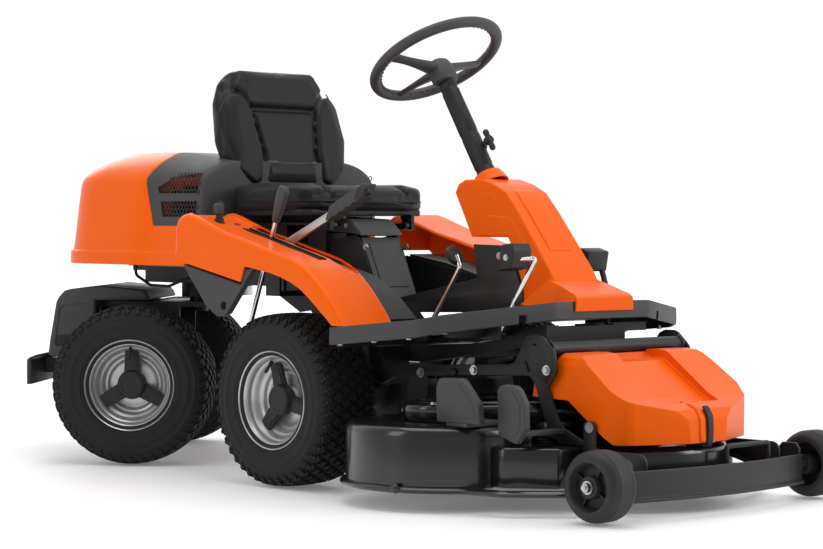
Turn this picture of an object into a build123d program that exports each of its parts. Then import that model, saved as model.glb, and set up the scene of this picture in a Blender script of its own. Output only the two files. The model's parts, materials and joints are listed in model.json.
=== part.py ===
from build123d import *
import math
import os

# Articulated front-mower rider. Millimetres, +Z up, forward is -Y, the driver's right is -X.
# Stations along Y are measured from the front axle while modelling; export_parts moves the whole
# machine by row_shift so that the origin is on the ground under the middle of the machine.

# ---- wheels and chassis layout
tyre_diameter = 407.0
tyre_width = 170.0
tyre_bead_radius = 101.6
tyre_shoulder_inset = 10.0
tyre_shoulder_drop = 12.0
rim_flange_radius = 115.0
rim_half_width = 78.0
wheelbase = 890.0
front_half_track = 352.0
rear_half_track = 312.0
pivot_to_rear_axle = 109.0
rest_steer_deg = 40.3
axle_stub_radius = 12.5
axle_tube_radius = 34.0
tyre_radius = tyre_diameter / 2
pivot_y = wheelbase - pivot_to_rear_axle

# ---- clearances
running_clearance = 0.05
body_gap = 1.0
wall = 4.0

# ---- chassis rails
rail_x = 115.0
rail_width = 40.0
rail_front_y = -600.0
rail_rear_y = 842.0
rail_rear_top = 500.0
rail_rear_bottom = 458.0
kingpin_radius = 25.0
pivot_housing_radius = 46.0

# ---- footplate
footplate_half_width = 440.0
footplate_rear_y = -212.0
footplate_side_front_y = -490.0
footplate_front_y = -650.0
footplate_front_half_width = 160.0
footplate_rear_z = 380.0
footplate_kink_z = 407.0
footplate_front_z = 444.0
skirt_height = 38.0

# ---- seat, pedestal, tunnel
tunnel_half_width = 68.0
sheet = 3.0
seat_front_y = 110.0
seat_rear_y = 440.0
seat_half_width = 236.0
seat_base_z = 646.0
seat_hinge_y = 118.0
seat_hinge_z = 612.0
seat_pin_radius = 6.0
seat_tip_deg = 55.0

# ---- steering column
wheel_centre_y = -111.0
wheel_centre_z = 1015.0
column_tilt_deg = 31.8
steering_rim_radius = 157.5
steering_rim_tube = 14.0
column_radius = 15.0
column_travel = 50.0
steering_ratio = 6.0

# ---- hood
hood_half_width = 334.0
hood_bottom_z = 508.0
hood_shoulder_z = 722.0
hood_top_z = 803.0
hood_front_y = 408.0
hood_rear_y = 1016.0
hood_hinge_y = 990.0
hood_hinge_z = 514.0
hood_pin_radius = 6.0
hood_open_deg = 75.0

# ---- fenders
fender_outer_x = 440.0
fender_inner_x = 276.0

# ---- levers
lift_lever_x = 300.0
lift_pivot_y = 175.0
lift_pivot_z = 530.0
lift_swing_deg = 60.0
height_lever_x = 345.0
height_pivot_y = 178.0
height_pivot_z = 350.0
throttle_x = 380.0
throttle_pivot_y = 246.0
throttle_pivot_z = 575.0
key_x = 332.0
key_y = 300.0
lever_pin_radius = 8.0

# ---- pedals
forward_pedal_x = 212.0
reverse_pedal_x = 178.0
brake_pedal_x = 150.0
pedal_pivot_y = -529.0
pedal_pivot_z = 372.0
reverse_pivot_y = -262.0
reverse_pivot_z = 358.0
pedal_rod_radius = 6.0
pedal_pin_radius = 5.0

# ---- cutting deck
deck_pivot_y = -140.0
deck_pivot_z = 262.0
deck_lift_deg = 5.0
arm_x = 234.0
arm_thickness = 6.0
blade_radius = 184.0
blade_z = 62.0
side_spindle_x = 325.0
side_spindle_y = -458.0
front_spindle_y = -702.0
side_lobe_radius = 213.0
front_lobe_radius = 242.0
ring_radius_extra = 13.0
shell_bottom_z = 52.0
shell_top_z = 182.0
front_shell_top_z = 140.0
spindle_radius = 12.5
pulley_radius = 58.0
pulley_bottom_z = 196.0
belt_cover_top_z = 228.0
deck_wheel_radius = 75.6
deck_wheel_width = 80.0
deck_wheel_x = 370.0
deck_wheel_y = -964.5
deck_wheel_lift = 3.0
deck_axle_radius = 10.0

# ---- engine
crank_y = 650.0
engine_plate_z = 500.0

# ---- bogie (stations measured from the kingpin, before the rest steer is applied)
tail_half_width = 190.0
bumper_y = 408.0
bumper_half_width = 200.0
hitch_z = 214.0

column_axis = Vector(0, math.sin(math.radians(column_tilt_deg)), math.cos(math.radians(column_tilt_deg)))
column_normal = Vector(0, -column_axis.Z, column_axis.Y)
steer_turn = math.radians(rest_steer_deg)
# the rearmost point is the outer rear tyre's shoulder with the bogie turned; the foremost is a deck wheel
rear_reach = (pivot_y + (rear_half_track + tyre_width / 2 - tyre_shoulder_inset) * math.sin(steer_turn)
              + (pivot_to_rear_axle + tyre_radius - tyre_shoulder_drop) * math.cos(steer_turn))
front_reach = deck_wheel_y - deck_wheel_radius
row_shift = -(rear_reach + front_reach) / 2


def block(x0, x1, y0, y1, z0, z1):
    return Pos((x0 + x1) / 2, (y0 + y1) / 2, (z0 + z1) / 2) * Box(abs(x1 - x0), abs(y1 - y0), abs(z1 - z0))


def rod(start, end, radius):
    a = Vector(*start)
    b = Vector(*end)
    plane = Plane(origin=a, z_dir=b - a)
    return extrude(plane * Circle(radius), amount=(b - a).length)


def side_plate(points, x0, x1):
    face = Plane.YZ.offset(x0) * Polygon(*points, align=None)
    return extrude(face, amount=x1 - x0, dir=(1, 0, 0))


def plan_plate(points, z0, z1):
    face = Plane.XY.offset(z0) * Polygon(*points, align=None)
    return extrude(face, amount=z1 - z0, dir=(0, 0, 1))


def front_plate(points, y0, y1):
    # points are (x, z); the plate runs from y0 to y1
    face = Plane.XZ.offset(-y0) * Polygon(*points, align=None)
    return extrude(face, amount=abs(y1 - y0), dir=(0, math.copysign(1, y1 - y0), 0))


def bent_rod(points, radius, bend):
    path = FilletPolyline(*points, radius=bend)
    start = Plane(origin=path @ 0, z_dir=path % 0)
    return sweep(start * Circle(radius), path=path)


def flip(shape):
    return shape.mirror(Plane.YZ)


def both_sides(shape):
    return shape + flip(shape)


def group(*shapes):
    # separate solids kept in one node
    solids = []
    for shape in shapes:
        solids += shape.solids()
    return Compound(solids)


def column_point(along, forward=0.0, side=0.0):
    base = Vector(side, wheel_centre_y, wheel_centre_z)
    point = base + column_axis * along + column_normal * forward
    return (point.X, point.Y, point.Z)


def column_plane(along):
    return Plane(origin=column_point(along), x_dir=(1, 0, 0), z_dir=column_axis)


def steered(shape):
    # bogie parts are built at the kingpin, straight ahead, then turned and moved to the pivot
    return Pos(0, pivot_y, 0) * Rot(0, 0, rest_steer_deg) * shape


def mirror_points(points):
    return points + [(-x, z) for x, z in reversed(points)]


# ---- chassis
def chassis_frame():
    profile = [(rail_front_y, 392), (-208, 345), (20, 345), (185, rail_rear_top), (rail_rear_y, rail_rear_top),
               (rail_rear_y, rail_rear_bottom), (240, rail_rear_bottom), (80, 290), (-208, 292),
               (rail_front_y, 352)]
    rail = side_plate(profile, rail_x - rail_width / 2, rail_x + rail_width / 2)
    frame = both_sides(rail)
    inner = rail_x - rail_width / 2
    for y, z0, z1 in ((-585, 355, 388), (-300, 305, 340), (268, 462, 496), (600, 462, 496)):
        frame += block(-inner, inner, y - 15, y + 15, z0, z1)
    for y, reach, z0, z1 in ((-490, 330, 366, 386), (-225, 420, 338, 356)):
        frame += both_sides(block(inner, reach, y - 10, y + 10, z0, z1))
    housing = Pos(0, pivot_y, rail_rear_bottom - 40) * Cylinder(
        pivot_housing_radius, rail_rear_top - rail_rear_bottom + 40, align=(Align.CENTER, Align.CENTER, Align.MIN))
    frame += housing + block(-inner, inner, pivot_y - 30, pivot_y + 30, rail_rear_bottom, rail_rear_top)
    frame -= Pos(0, pivot_y, 300) * Cylinder(kingpin_radius + running_clearance, 400)
    saddle = block(rail_x - 15, rail_x + 15, -40, 40, tyre_radius + axle_tube_radius - 8, 300)
    saddle -= rod((0, 0, tyre_radius), (200, 0, tyre_radius), axle_tube_radius)
    frame += both_sides(saddle)
    # deck pivots
    ear = block(inner + rail_width, arm_x - arm_thickness - 3, deck_pivot_y - 22, deck_pivot_y + 22,
                deck_pivot_z - 22, 330)
    pivot_pin = rod((inner + rail_width, deck_pivot_y, deck_pivot_z),
                    (arm_x + arm_thickness, deck_pivot_y, deck_pivot_z), 10)
    frame += both_sides(ear + pivot_pin)
    # lever brackets on the right
    frame += block(-270, -(rail_x + 15), 150, 200, 440, 452)
    frame += block(-270, -264, 150, 200, 440, 552)
    frame += rod((-264, lift_pivot_y, lift_pivot_z), (-lift_lever_x - 14, lift_pivot_y, lift_pivot_z),
                 lever_pin_radius)
    frame += block(-rail_x - 6, -rail_x + 6, height_pivot_y - 18, height_pivot_y + 18, height_pivot_z - 12, 430)
    frame += rod((-rail_x, height_pivot_y, height_pivot_z),
                 (-height_lever_x + 14, height_pivot_y, height_pivot_z), 11)
    frame += rod((-rail_x, height_pivot_y, height_pivot_z), (-height_lever_x - 14, height_pivot_y, height_pivot_z),
                 lever_pin_radius)
    # pedal pivots hang under the footplate
    for x in (-forward_pedal_x, brake_pedal_x):
        frame += block(x - 16, x - 10, -542, -485, pedal_pivot_z - 12, 386)
        frame += rod((x - 14, pedal_pivot_y, pedal_pivot_z), (x + 12, pedal_pivot_y, pedal_pivot_z),
                     pedal_pin_radius)
    frame += block(-reverse_pedal_x - 16, -reverse_pedal_x - 10, -282, -225, reverse_pivot_z - 12, 370)
    frame += rod((-reverse_pedal_x - 14, reverse_pivot_y, reverse_pivot_z),
                 (-reverse_pedal_x + 12, reverse_pivot_y, reverse_pivot_z), pedal_pin_radius)
    # hood hinge outrigger
    for x in (-60, 60):
        # each arm ends short of the pin, so the hood's rear edge can swing under it
        frame += block(x - 8, x + 8, rail_rear_y - 18, hood_hinge_y - 10, rail_rear_top - 14, rail_rear_top)
        frame += block(x - 8, x + 8, hood_hinge_y - 26, hood_hinge_y + 10, rail_rear_top - 2, hood_hinge_z + 12)
    frame += block(-inner, inner, rail_rear_y - 18, rail_rear_y, rail_rear_top - 14, rail_rear_top)
    frame += rod((-90, hood_hinge_y, hood_hinge_z), (90, hood_hinge_y, hood_hinge_z), hood_pin_radius)
    return frame


def front_axle():
    stub_end = front_half_track + 34
    shaft = rod((-stub_end, 0, tyre_radius), (stub_end, 0, tyre_radius), axle_stub_radius)
    inner = front_half_track - 56
    tube = rod((-inner, 0, tyre_radius), (inner, 0, tyre_radius), axle_tube_radius)
    gearcase = fillet(block(-70, 70, -75, 75, tyre_radius - 70, tyre_radius + 72).edges(), 18)
    nut = rod((-stub_end, 0, tyre_radius), (-stub_end + 8, 0, tyre_radius), 20)
    return shaft + tube + gearcase + nut + flip(nut)


# ---- footplate
footplate_outline = [
    (footplate_half_width, footplate_rear_y), (footplate_half_width, footplate_side_front_y),
    (footplate_half_width - 34, footplate_side_front_y - 42), (footplate_front_half_width, footplate_front_y)]


def footplate_section(drop_top, drop_bottom):
    # the sloping slab between two drops below the footplate surface
    def line(drop):
        return [(footplate_rear_y, footplate_rear_z - drop), (footplate_side_front_y, footplate_kink_z - drop),
                (footplate_front_y, footplate_front_z - drop)]
    return side_plate(line(drop_top) + list(reversed(line(drop_bottom))), -footplate_half_width,
                      footplate_half_width)


def footplate_plan(inset):
    pts = [(x - inset, y) for x, y in footplate_outline]
    pts[-1] = (pts[-1][0] + inset * 0.6, footplate_front_y + inset)
    return plan_plate(mirror_points(pts), 250, 520)


def footplate():
    plate = footplate_section(0, wall) & footplate_plan(8)
    slot_forward = block(-forward_pedal_x - 14, -forward_pedal_x + 26, -588, -530, 300, 500)
    slot_brake = block(brake_pedal_x - 14, brake_pedal_x + 14, -576, -514, 300, 500)
    slot_reverse = block(-reverse_pedal_x - 14, -reverse_pedal_x + 14, -300, -250, 300, 500)
    return plate - slot_forward - slot_brake - slot_reverse


def footplate_skirt():
    band = footplate_section(-2, skirt_height) & (footplate_plan(0) - footplate_plan(8))
    # notches that the two mower arms rise into when the deck is lifted
    notch = block(arm_x - arm_thickness - 6, arm_x + 6, -645, -590, 380, 418)
    return band - both_sides(notch)


def tunnel():
    wall_profile = [(16, 400), (-477, 415), (-460, 470), (-412, 570), (-306, 572), (-318, 490), (12, 424),
                    (82, 584), (100, 592), (273, 555), (273, rail_rear_top + 2), (190, rail_rear_top + 2),
                    (80, 400)]
    side = side_plate(wall_profile, tunnel_half_width - sheet, tunnel_half_width)
    top = side_plate([(-318, 490), (12, 424), (12, 424 - sheet), (-318, 490 - sheet)], -tunnel_half_width + 1,
                     tunnel_half_width - 1)
    return both_sides(side) + top


def pedestal_cover():
    inner = tunnel_half_width - sheet - body_gap
    label = [(8, 428), (80, 584), (84, 584), (12, 428)]
    cap = [(72, 588), (118, 628), (250, 634), (250, 630), (120, 624), (76, 586)]
    cover = side_plate(label, -inner, inner)
    hood_cap = side_plate(cap, -tunnel_half_width - 3, tunnel_half_width + 3)
    lip = side_plate([(76, 582), (84, 596), (110, 620), (116, 620), (88, 590), (84, 578)], -inner, inner)
    return cover + hood_cap + lip


def console_profile():
    return [(-300, 420), (-312, 575), (-246, 692), (-268, 722), (-330, 724), (-412, 692), (-452, 646), (-550, 520),
            (-575, 484), (-648, 458), (-656, 446)]


def console_cover():
    outer = side_plate(console_profile() + [(-656, 420)], -76, 76)
    foot = side_plate([(-470, 420), (-470, 440), (-548, 500), (-572, 484), (-648, 458), (-656, 446), (-656, 420)],
                      -130, 130)
    outer += foot
    inner = side_plate([(-290, 400), (-304, 575), (-254, 692), (-272, 716), (-328, 719), (-408, 687),
                        (-447, 643), (-545, 517), (-570, 480), (-640, 455), (-645, 400)], -76 + wall, 76 - wall)
    foot_inner = side_plate([(-478, 400), (-478, 436), (-546, 490), (-570, 478), (-642, 452), (-650, 400)],
                            -130 + wall, 130 - wall)
    shell = outer - inner - foot_inner
    # the sheet tunnel stands inside the cover's lower part, so the lower sides stop short of it
    shell -= side_plate([(-280, 400), (-300, 585), (-420, 585), (-470, 475), (-478, 400)], -90, 90)
    # clear of the footplate
    shell -= footplate_section(-2.5, 80)
    shell -= extrude(column_plane(-420) * Circle(24), amount=200)
    return shell


def column_tube():
    tube = extrude(column_plane(-655) * Circle(column_radius), amount=455)
    foot = block(-tunnel_half_width + sheet, tunnel_half_width - sheet, -474, -420, 452, 462)
    post = block(-30, 30, -462, -430, 405, 452)
    return tube + foot + post


def column_sleeve():
    outer = extrude(column_plane(-352) * SlotOverall(48, 38, rotation=90), amount=282, dir=tuple(column_axis))
    bore = extrude(column_plane(-360) * Circle(column_radius + running_clearance), amount=165)
    boss_start = column_point(-262, 16)
    boss_end = column_point(-262, 27)
    spigot = rod(column_point(-80), column_point(-2), 9)
    return outer - bore + rod(boss_start, boss_end, 11) + spigot


def column_knob():
    stem = rod(column_point(-262, 27 + body_gap * 0.4), column_point(-262, 42), 6)
    bar = rod(column_point(-262 - 28, 48), column_point(-262 + 28, 48), 7.5)
    hub = rod(column_point(-262, 38), column_point(-262, 54), 11)
    return stem + bar + hub


def steering_wheel():
    rim = column_plane(0) * Torus(steering_rim_radius, steering_rim_tube)
    hub = extrude(column_plane(-68) * RectangleRounded(66, 54, 18), amount=52)
    hub += extrude(column_plane(-18) * RectangleRounded(54, 44, 14), amount=10)
    spokes = None
    for side in (-1, 1):
        spoke = rod(column_point(-28, 0, side * 24), column_point(-4, 0, side * (steering_rim_radius - 6)), 13)
        spokes = spoke if spokes is None else spokes + spoke
    lower = rod(column_point(-30, -18), column_point(-6, -(steering_rim_radius - 6)), 11)
    wheel = rim + hub + spokes + lower
    return wheel - extrude(column_plane(-80) * Circle(9 + running_clearance), amount=80)


# ---- fenders
fender_top = [(349, 548), (346, 612), (330, 634), (300, 640), (245, 622), (163, 596), (20, 560), (-100, 530),
              (-152, 498), (-205, 458), (-262, 392), (-226, 386)]
fender_bottom = [(-213, 392), (-164, 432), (-113, 467), (-43, 494), (34, 508), (84, 516), (98, 478), (318, 523)]


def fender_shell():
    # built on the left (+X); open below and towards the middle of the machine
    outline = fender_top[:-1] + [(-220, 388)] + fender_bottom
    outer = side_plate(outline, fender_inner_x, fender_outer_x)
    inside = [(344, 400), (341, 610), (328, 629), (300, 635), (246, 617), (164, 591), (21, 555), (-98, 525),
              (-148, 493), (-200, 453), (-256, 387), (-240, 380)]
    hollow = side_plate(inside, fender_inner_x - 5, fender_outer_x - wall)
    rim_keep = side_plate(fender_top[:-1] + [(-240, 400), (-190, 455), (-140, 490), (-90, 505), (20, 535),
                                             (163, 570), (245, 596), (320, 600)],
                          fender_inner_x, fender_inner_x + wall)
    return outer - hollow + (rim_keep & outer)


def fender_left():
    return fender_shell()


def fender_right():
    fender = flip(fender_shell())
    fender -= block(-lift_lever_x - 15, -lift_lever_x + 15, -130, 205, 480, 700)
    fender -= block(-height_lever_x - 11, -height_lever_x + 11, -85, 186, 480, 700)
    fender -= block(-throttle_x - 11, -throttle_x + 11, 206, 286, 602, 700)
    lug = block(-throttle_x + 6, -throttle_x + 12, throttle_pivot_y - 10, throttle_pivot_y + 10,
                throttle_pivot_z - 8, 620)
    pin = rod((-throttle_x + 10, throttle_pivot_y, throttle_pivot_z),
              (-throttle_x - 9, throttle_pivot_y, throttle_pivot_z), 4)
    socket = rod((-key_x, key_y, 600), (-key_x, key_y, 644), 14)
    key_bore = rod((-key_x, key_y, 612), (-key_x, key_y, 650), 4 + running_clearance)
    return fender + lug + pin + socket - key_bore


def fender_trims():
    trim = side_plate([(314, 516), (100, 472), (82, 510), (57, 511), (152, 400), (189, 394), (232, 420)],
                      fender_outer_x - 24, fender_outer_x - wall)
    trim -= rod((300, 165, 420), (500, 165, 420), 11)
    arch = [(-225, 396), (-160, 452), (-90, 492), (20, 520), (150, 540)]
    liner = side_plate(arch + [(150, 535), (21, 515), (-88, 487), (-156, 448), (-218, 392)], 172, fender_inner_x)
    web = side_plate(arch + [(150, 470), (90, 420), (-60, 420), (-217, 386)], 172, 175)
    liner_piece = liner + web
    return group(trim, flip(trim), liner_piece, flip(liner_piece))


# ---- engine bay
def engine_block():
    plate = block(-140, 140, 560, 840, engine_plate_z, engine_plate_z + 6)
    plate -= Pos(0, crank_y, engine_plate_z) * Cylinder(26, 60)
    crankcase = fillet(block(-105, 105, 590, 800, 506, 640).edges().filter_by(Axis.Z), 22)
    crankcase -= Pos(0, crank_y, 506) * Cylinder(18, 40)
    blower = Pos(0, 695, 640) * Cylinder(128, 62, align=(Align.CENTER, Align.CENTER, Align.MIN))
    screen = Pos(0, 695, 702) * Cylinder(96, 14, align=(Align.CENTER, Align.CENTER, Align.MIN))
    heads = block(100, 205, 630, 730, 540, 640)
    for step in range(5):
        y = 642 + 18 * step
        heads -= block(118, 200, y, y + 8, 548, 650)
    return plate + crankcase + blower + screen + both_sides(heads)


def engine_pulley():
    shaft = rod((0, crank_y, 425), (0, crank_y, 518), 12.5)
    disc = rod((0, crank_y, 426), (0, crank_y, 450), 58)
    groove = disc - rod((0, crank_y, 433), (0, crank_y, 443), 50)
    return shaft + groove + rod((0, crank_y, 426), (0, crank_y, 450), 50.5)


def muffler():
    body = rod((-130, 880, 575), (130, 880, 575), 48)
    outlet = bent_rod([(110, 880, 575), (172, 880, 575), (172, 880, 505)], 14, 22)
    stand = block(-20, 20, 841, 850, rail_rear_top, 575)
    return body + outlet + stand


def fuel_tank():
    tank = fillet(block(-104, 104, 300, 430, rail_rear_top + 1, 592).edges().filter_by(Axis.Z), 18)
    cap = Pos(0, 365, 592) * Cylinder(28, 14, align=(Align.CENTER, Align.CENTER, Align.MIN))
    return tank + cap


def battery():
    case = block(-60, 60, 84, 244, 402, 552)
    posts = Pos(-35, 110, 552) * Cylinder(8, 12, align=(Align.CENTER, Align.CENTER, Align.MIN))
    posts += Pos(35, 110, 552) * Cylinder(8, 12, align=(Align.CENTER, Align.CENTER, Align.MIN))
    tray = block(-rail_x + 20, rail_x - 20, 90, 180, 396, 402)
    return case + posts + tray


def harness_cable():
    route = [(-200, 800, 507), (-200, 800, 478), (-196, 742, 452), (-182, 684, 450), (-162, 640, 470),
             (-rail_x - rail_width / 2 - 0.2, 640, 470)]
    return bent_rod(route, 4, 16)


# ---- seat
def seat_bracket():
    plate = block(-130, 130, 150, 420, 612, 618)
    legs = block(112, 122, 290, 410, rail_rear_top, 612)
    front_legs = block(tunnel_half_width + 1, tunnel_half_width + 9, 196, 262, rail_rear_top + 9, 612)
    arms = block(118, 130, seat_hinge_y, 170, seat_hinge_z - 9, 618)
    arms += rod((118, seat_hinge_y, seat_hinge_z), (130, seat_hinge_y, seat_hinge_z), 9)
    arms += rod((124, seat_hinge_y, seat_hinge_z), (150, seat_hinge_y, seat_hinge_z), seat_pin_radius)
    return plate + both_sides(legs + front_legs + arms)


def seat_pan():
    profile = [(seat_front_y + 14, seat_base_z - 10), (seat_rear_y - 30, seat_base_z - 10),
               (seat_rear_y + 30, 700), (seat_rear_y + 88, 985), (seat_rear_y + 80, 990),
               (seat_rear_y + 20, 706), (seat_rear_y - 36, seat_base_z - 1), (seat_front_y + 14, seat_base_z - 1)]
    pan = side_plate(profile, -seat_half_width + 20, seat_half_width - 20)
    # the back of the pan is narrower than the cushion
    pan -= both_sides(block(178, seat_half_width, seat_rear_y - 30, seat_rear_y + 120, 722, 1010))
    ear = block(134, 144, seat_hinge_y - 12, seat_hinge_y + 12, seat_hinge_z - 12, seat_base_z - 8)
    ear += block(134, 144, seat_hinge_y, seat_hinge_y + 44, seat_hinge_z + 10, seat_base_z - 8)
    pan += both_sides(ear)
    pan -= rod((-200, seat_hinge_y, seat_hinge_z), (200, seat_hinge_y, seat_hinge_z),
               seat_pin_radius + running_clearance)
    return pan


def seat_cushion():
    outline = [(150, seat_front_y), (205, seat_front_y + 25), (seat_half_width, seat_front_y + 90),
               (seat_half_width, seat_rear_y - 64), (200, seat_rear_y - 37)]
    base = plan_plate(mirror_points(outline), seat_base_z, 712)
    return fillet(base.edges().filter_by(Axis.Z), 14)


def seat_backrest():
    lean = [(seat_rear_y - 22, 716), (seat_rear_y - 18, 800), (seat_rear_y + 30, 1005), (seat_rear_y + 58, 1022),
            (seat_rear_y + 78, 1010), (seat_rear_y + 79, 988), (seat_rear_y + 20, 712)]
    slab = side_plate(lean, -seat_half_width, seat_half_width)
    face = [(142, 700), (186, 745), (204, 830), (192, 935), (168, 990), (130, 1030)]
    return slab & front_plate(mirror_points(face), 380, 560)


# ---- hood
def hood_solid(inset):
    half = hood_half_width - inset
    top = hood_top_z - inset
    cross = [(half, hood_bottom_z - inset), (half, 540), (half - 4, 541), (half - 28, hood_shoulder_z - inset),
             (250 - inset, 786 - inset), (150, top)]
    side = [(hood_front_y - inset, hood_bottom_z - inset * 3), (hood_front_y - inset, 700), (520, 790 - inset),
            (700, top), (880, 793 - inset), (975 - inset, 766 - inset), (1006 - inset, 650),
            (hood_rear_y - inset, 520), (hood_rear_y - inset, hood_bottom_z - inset * 3)]
    plan = [(half, hood_front_y - inset * 2), (half, 868), (half - 12, 925), (half - 52, 976),
            (215 - inset, 1004 - inset), (120, hood_rear_y - inset)]
    solid = side_plate(side, -hood_half_width, hood_half_width)
    solid &= front_plate(mirror_points(cross), 380, 1040)
    return solid & plan_plate(mirror_points(plan), 450, 850)


def hood_skin():
    skin = hood_solid(0) - hood_solid(wall)
    skin -= block(-268, 268, 380, 532, 480, 850)
    return skin


grille_edge = [(380, 608), (587, 608), (628, 729), (598, 830), (380, 830)]


def hood():
    shell = hood_skin() - side_plate(grille_edge, -400, 400)
    # hinge ears reach down from the rear wall to the pin
    for x in (-80, 80):
        ear = block(x - 6, x + 6, hood_hinge_y - 12, 1009, hood_hinge_z - 9, 560)
        shell += ear
    shell -= rod((-100, hood_hinge_y, hood_hinge_z), (100, hood_hinge_y, hood_hinge_z),
                 hood_pin_radius + running_clearance)
    return shell


def hood_grille():
    trim = hood_skin() & side_plate(grille_edge, -400, 400)
    upper = [(584, 713), (520, 733), (424, 743), (424, 688), (575, 690)]
    lower = [(571, 672), (424, 672), (424, 629), (556, 629)]
    for window in (upper, lower):
        recess = side_plate(window, 270, 340) - hood_solid(2)
        trim -= both_sides(recess)
    return trim


# ---- levers and pedals
def lift_bar_point(along, up=0.0):
    # along the bar from the pivot towards the grip
    turn = math.radians(24)
    y = lift_pivot_y - along * math.cos(turn) - up * math.sin(turn)
    z = lift_pivot_z + along * math.sin(turn) + up * math.cos(turn)
    return (y, z)


def lift_lever():
    bar = side_plate([lift_bar_point(-16, -15), lift_bar_point(285, -15), lift_bar_point(285, 15),
                      lift_bar_point(-16, 15)], -lift_lever_x - 5, -lift_lever_x + 5)
    # the bar steps up a little where it leaves the trough
    hub = rod((-lift_lever_x - 7, lift_pivot_y, lift_pivot_z), (-lift_lever_x + 7, lift_pivot_y, lift_pivot_z), 17)
    bar += hub
    return bar - rod((-400, lift_pivot_y, lift_pivot_z), (-200, lift_pivot_y, lift_pivot_z),
                     lever_pin_radius + running_clearance)


def lift_grip():
    sleeve = side_plate([lift_bar_point(285, -21), lift_bar_point(398, -21), lift_bar_point(398, 21),
                         lift_bar_point(285, 21)], -lift_lever_x - 17, -lift_lever_x + 17)
    sleeve = fillet(sleeve.edges().filter_by(Plane.YZ, reverse=True).filter_by(GeomType.LINE), 8)
    bore_start = lift_bar_point(380)
    bore_end = lift_bar_point(410)
    return sleeve - rod((-lift_lever_x, *bore_start), (-lift_lever_x, *bore_end), 9 + running_clearance)


def lift_button():
    start = lift_bar_point(388)
    end = lift_bar_point(407)
    return rod((-lift_lever_x, *start), (-lift_lever_x, *end), 9)


def height_lever():
    direction = Vector(0, 51 - height_pivot_y, 700 - height_pivot_z).normalized()
    pivot = Vector(-height_lever_x, height_pivot_y, height_pivot_z)

    def at(along):
        point = pivot + direction * along
        return (point.X, point.Y, point.Z)
    stem = rod(at(10), at(300), 6)
    grip = rod(at(292), at(372), 13)
    hub = rod((-height_lever_x - 10, height_pivot_y, height_pivot_z),
              (-height_lever_x + 10, height_pivot_y, height_pivot_z), 16)
    hub -= rod((-400, height_pivot_y, height_pivot_z), (-300, height_pivot_y, height_pivot_z),
               lever_pin_radius + running_clearance)
    stem -= rod((-400, height_pivot_y, height_pivot_z), (-300, height_pivot_y, height_pivot_z), 15)
    return hub + stem + grip


def throttle_lever():
    stem = block(-throttle_x - 4, -throttle_x + 4, throttle_pivot_y - 4, throttle_pivot_y + 4, throttle_pivot_z, 645)
    hub = rod((-throttle_x - 5, throttle_pivot_y, throttle_pivot_z),
              (-throttle_x + 5, throttle_pivot_y, throttle_pivot_z), 9)
    knob = fillet(block(-throttle_x - 12, -throttle_x + 12, throttle_pivot_y - 8, throttle_pivot_y + 12,
                        640, 664).edges(), 4)
    bore = rod((-400, throttle_pivot_y, throttle_pivot_z), (-350, throttle_pivot_y, throttle_pivot_z),
               4 + running_clearance)
    return stem + hub + knob - bore


def ignition_key():
    shank = rod((-key_x, key_y, 614), (-key_x, key_y, 650), 4)
    bow = block(-key_x - 2.5, -key_x + 2.5, key_y - 12, key_y + 12, 648, 670)
    return shank + bow


def pedal_hub(x, y, z):
    return rod((x - 8, y, z), (x + 8, y, z), 11)


def pedal_bore(x, y, z):
    return rod((x - 20, y, z), (x + 20, y, z), pedal_pin_radius + running_clearance)


def forward_pedal():
    x = -forward_pedal_x
    rod_path = bent_rod([(x, pedal_pivot_y - 3, pedal_pivot_z + 8), (x + 30, -604, 539), (x - 20, -592, 541)],
                        pedal_rod_radius, 12)
    pad = side_plate([(-556, 514), (-596, 520), (-604, 560), (-596, 578), (-566, 574)], x - 40, x + 24)
    return rod_path + pad + pedal_hub(x, pedal_pivot_y, pedal_pivot_z) - pedal_bore(x, pedal_pivot_y, pedal_pivot_z)


def reverse_pedal():
    x = -reverse_pedal_x
    path = bent_rod([(x, reverse_pivot_y - 4, reverse_pivot_z + 8), (x, -368, 520), (x, -358, 548)],
                    pedal_rod_radius, 10)
    disc = Pos(x, -352, 546) * Rot(62, 0, 0) * Cylinder(24, 14)
    hub = pedal_hub(x, reverse_pivot_y, reverse_pivot_z)
    return path + disc + hub - pedal_bore(x, reverse_pivot_y, reverse_pivot_z)


def brake_pedal():
    x = brake_pedal_x
    arm = bent_rod([(x, pedal_pivot_y - 3, pedal_pivot_z + 8), (x, -530, 470), (x, -512, 522)], 7, 20)
    pad = side_plate([(-490, 508), (-524, 510), (-532, 556), (-500, 566)], x - 66, x + 8)
    return arm + pad + pedal_hub(x, pedal_pivot_y, pedal_pivot_z) - pedal_bore(x, pedal_pivot_y, pedal_pivot_z)


# ---- wheels, built about the origin with the axle along X and the outer face towards +X
def tyre_at(x, y):
    half = tyre_width / 2
    # (radius, half width) points: inside of the carcass, then the tread and the sidewall
    section = [(tyre_bead_radius, rim_half_width - 8), (tyre_bead_radius, rim_half_width - 24),
               (tyre_bead_radius + 14, rim_half_width - 16), (150, half - 14), (178, half - 15), (190, half - 34),
               (191, 0)]
    outer = [(tyre_radius, 0), (tyre_radius - 2, half - 34),
             (tyre_radius - tyre_shoulder_drop, half - tyre_shoulder_inset), (178, half - 2), (150, half),
             (125, half - 6), (tyre_bead_radius + 12, rim_half_width - 5)]
    half_points = [(u, r) for r, u in section + outer]
    face = Plane.XY * Polygon(*half_points, align=None)
    solid = revolve(face, axis=Axis.X)
    return Pos(x, y, tyre_radius) * (solid + solid.mirror(Plane.YZ))


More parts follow.
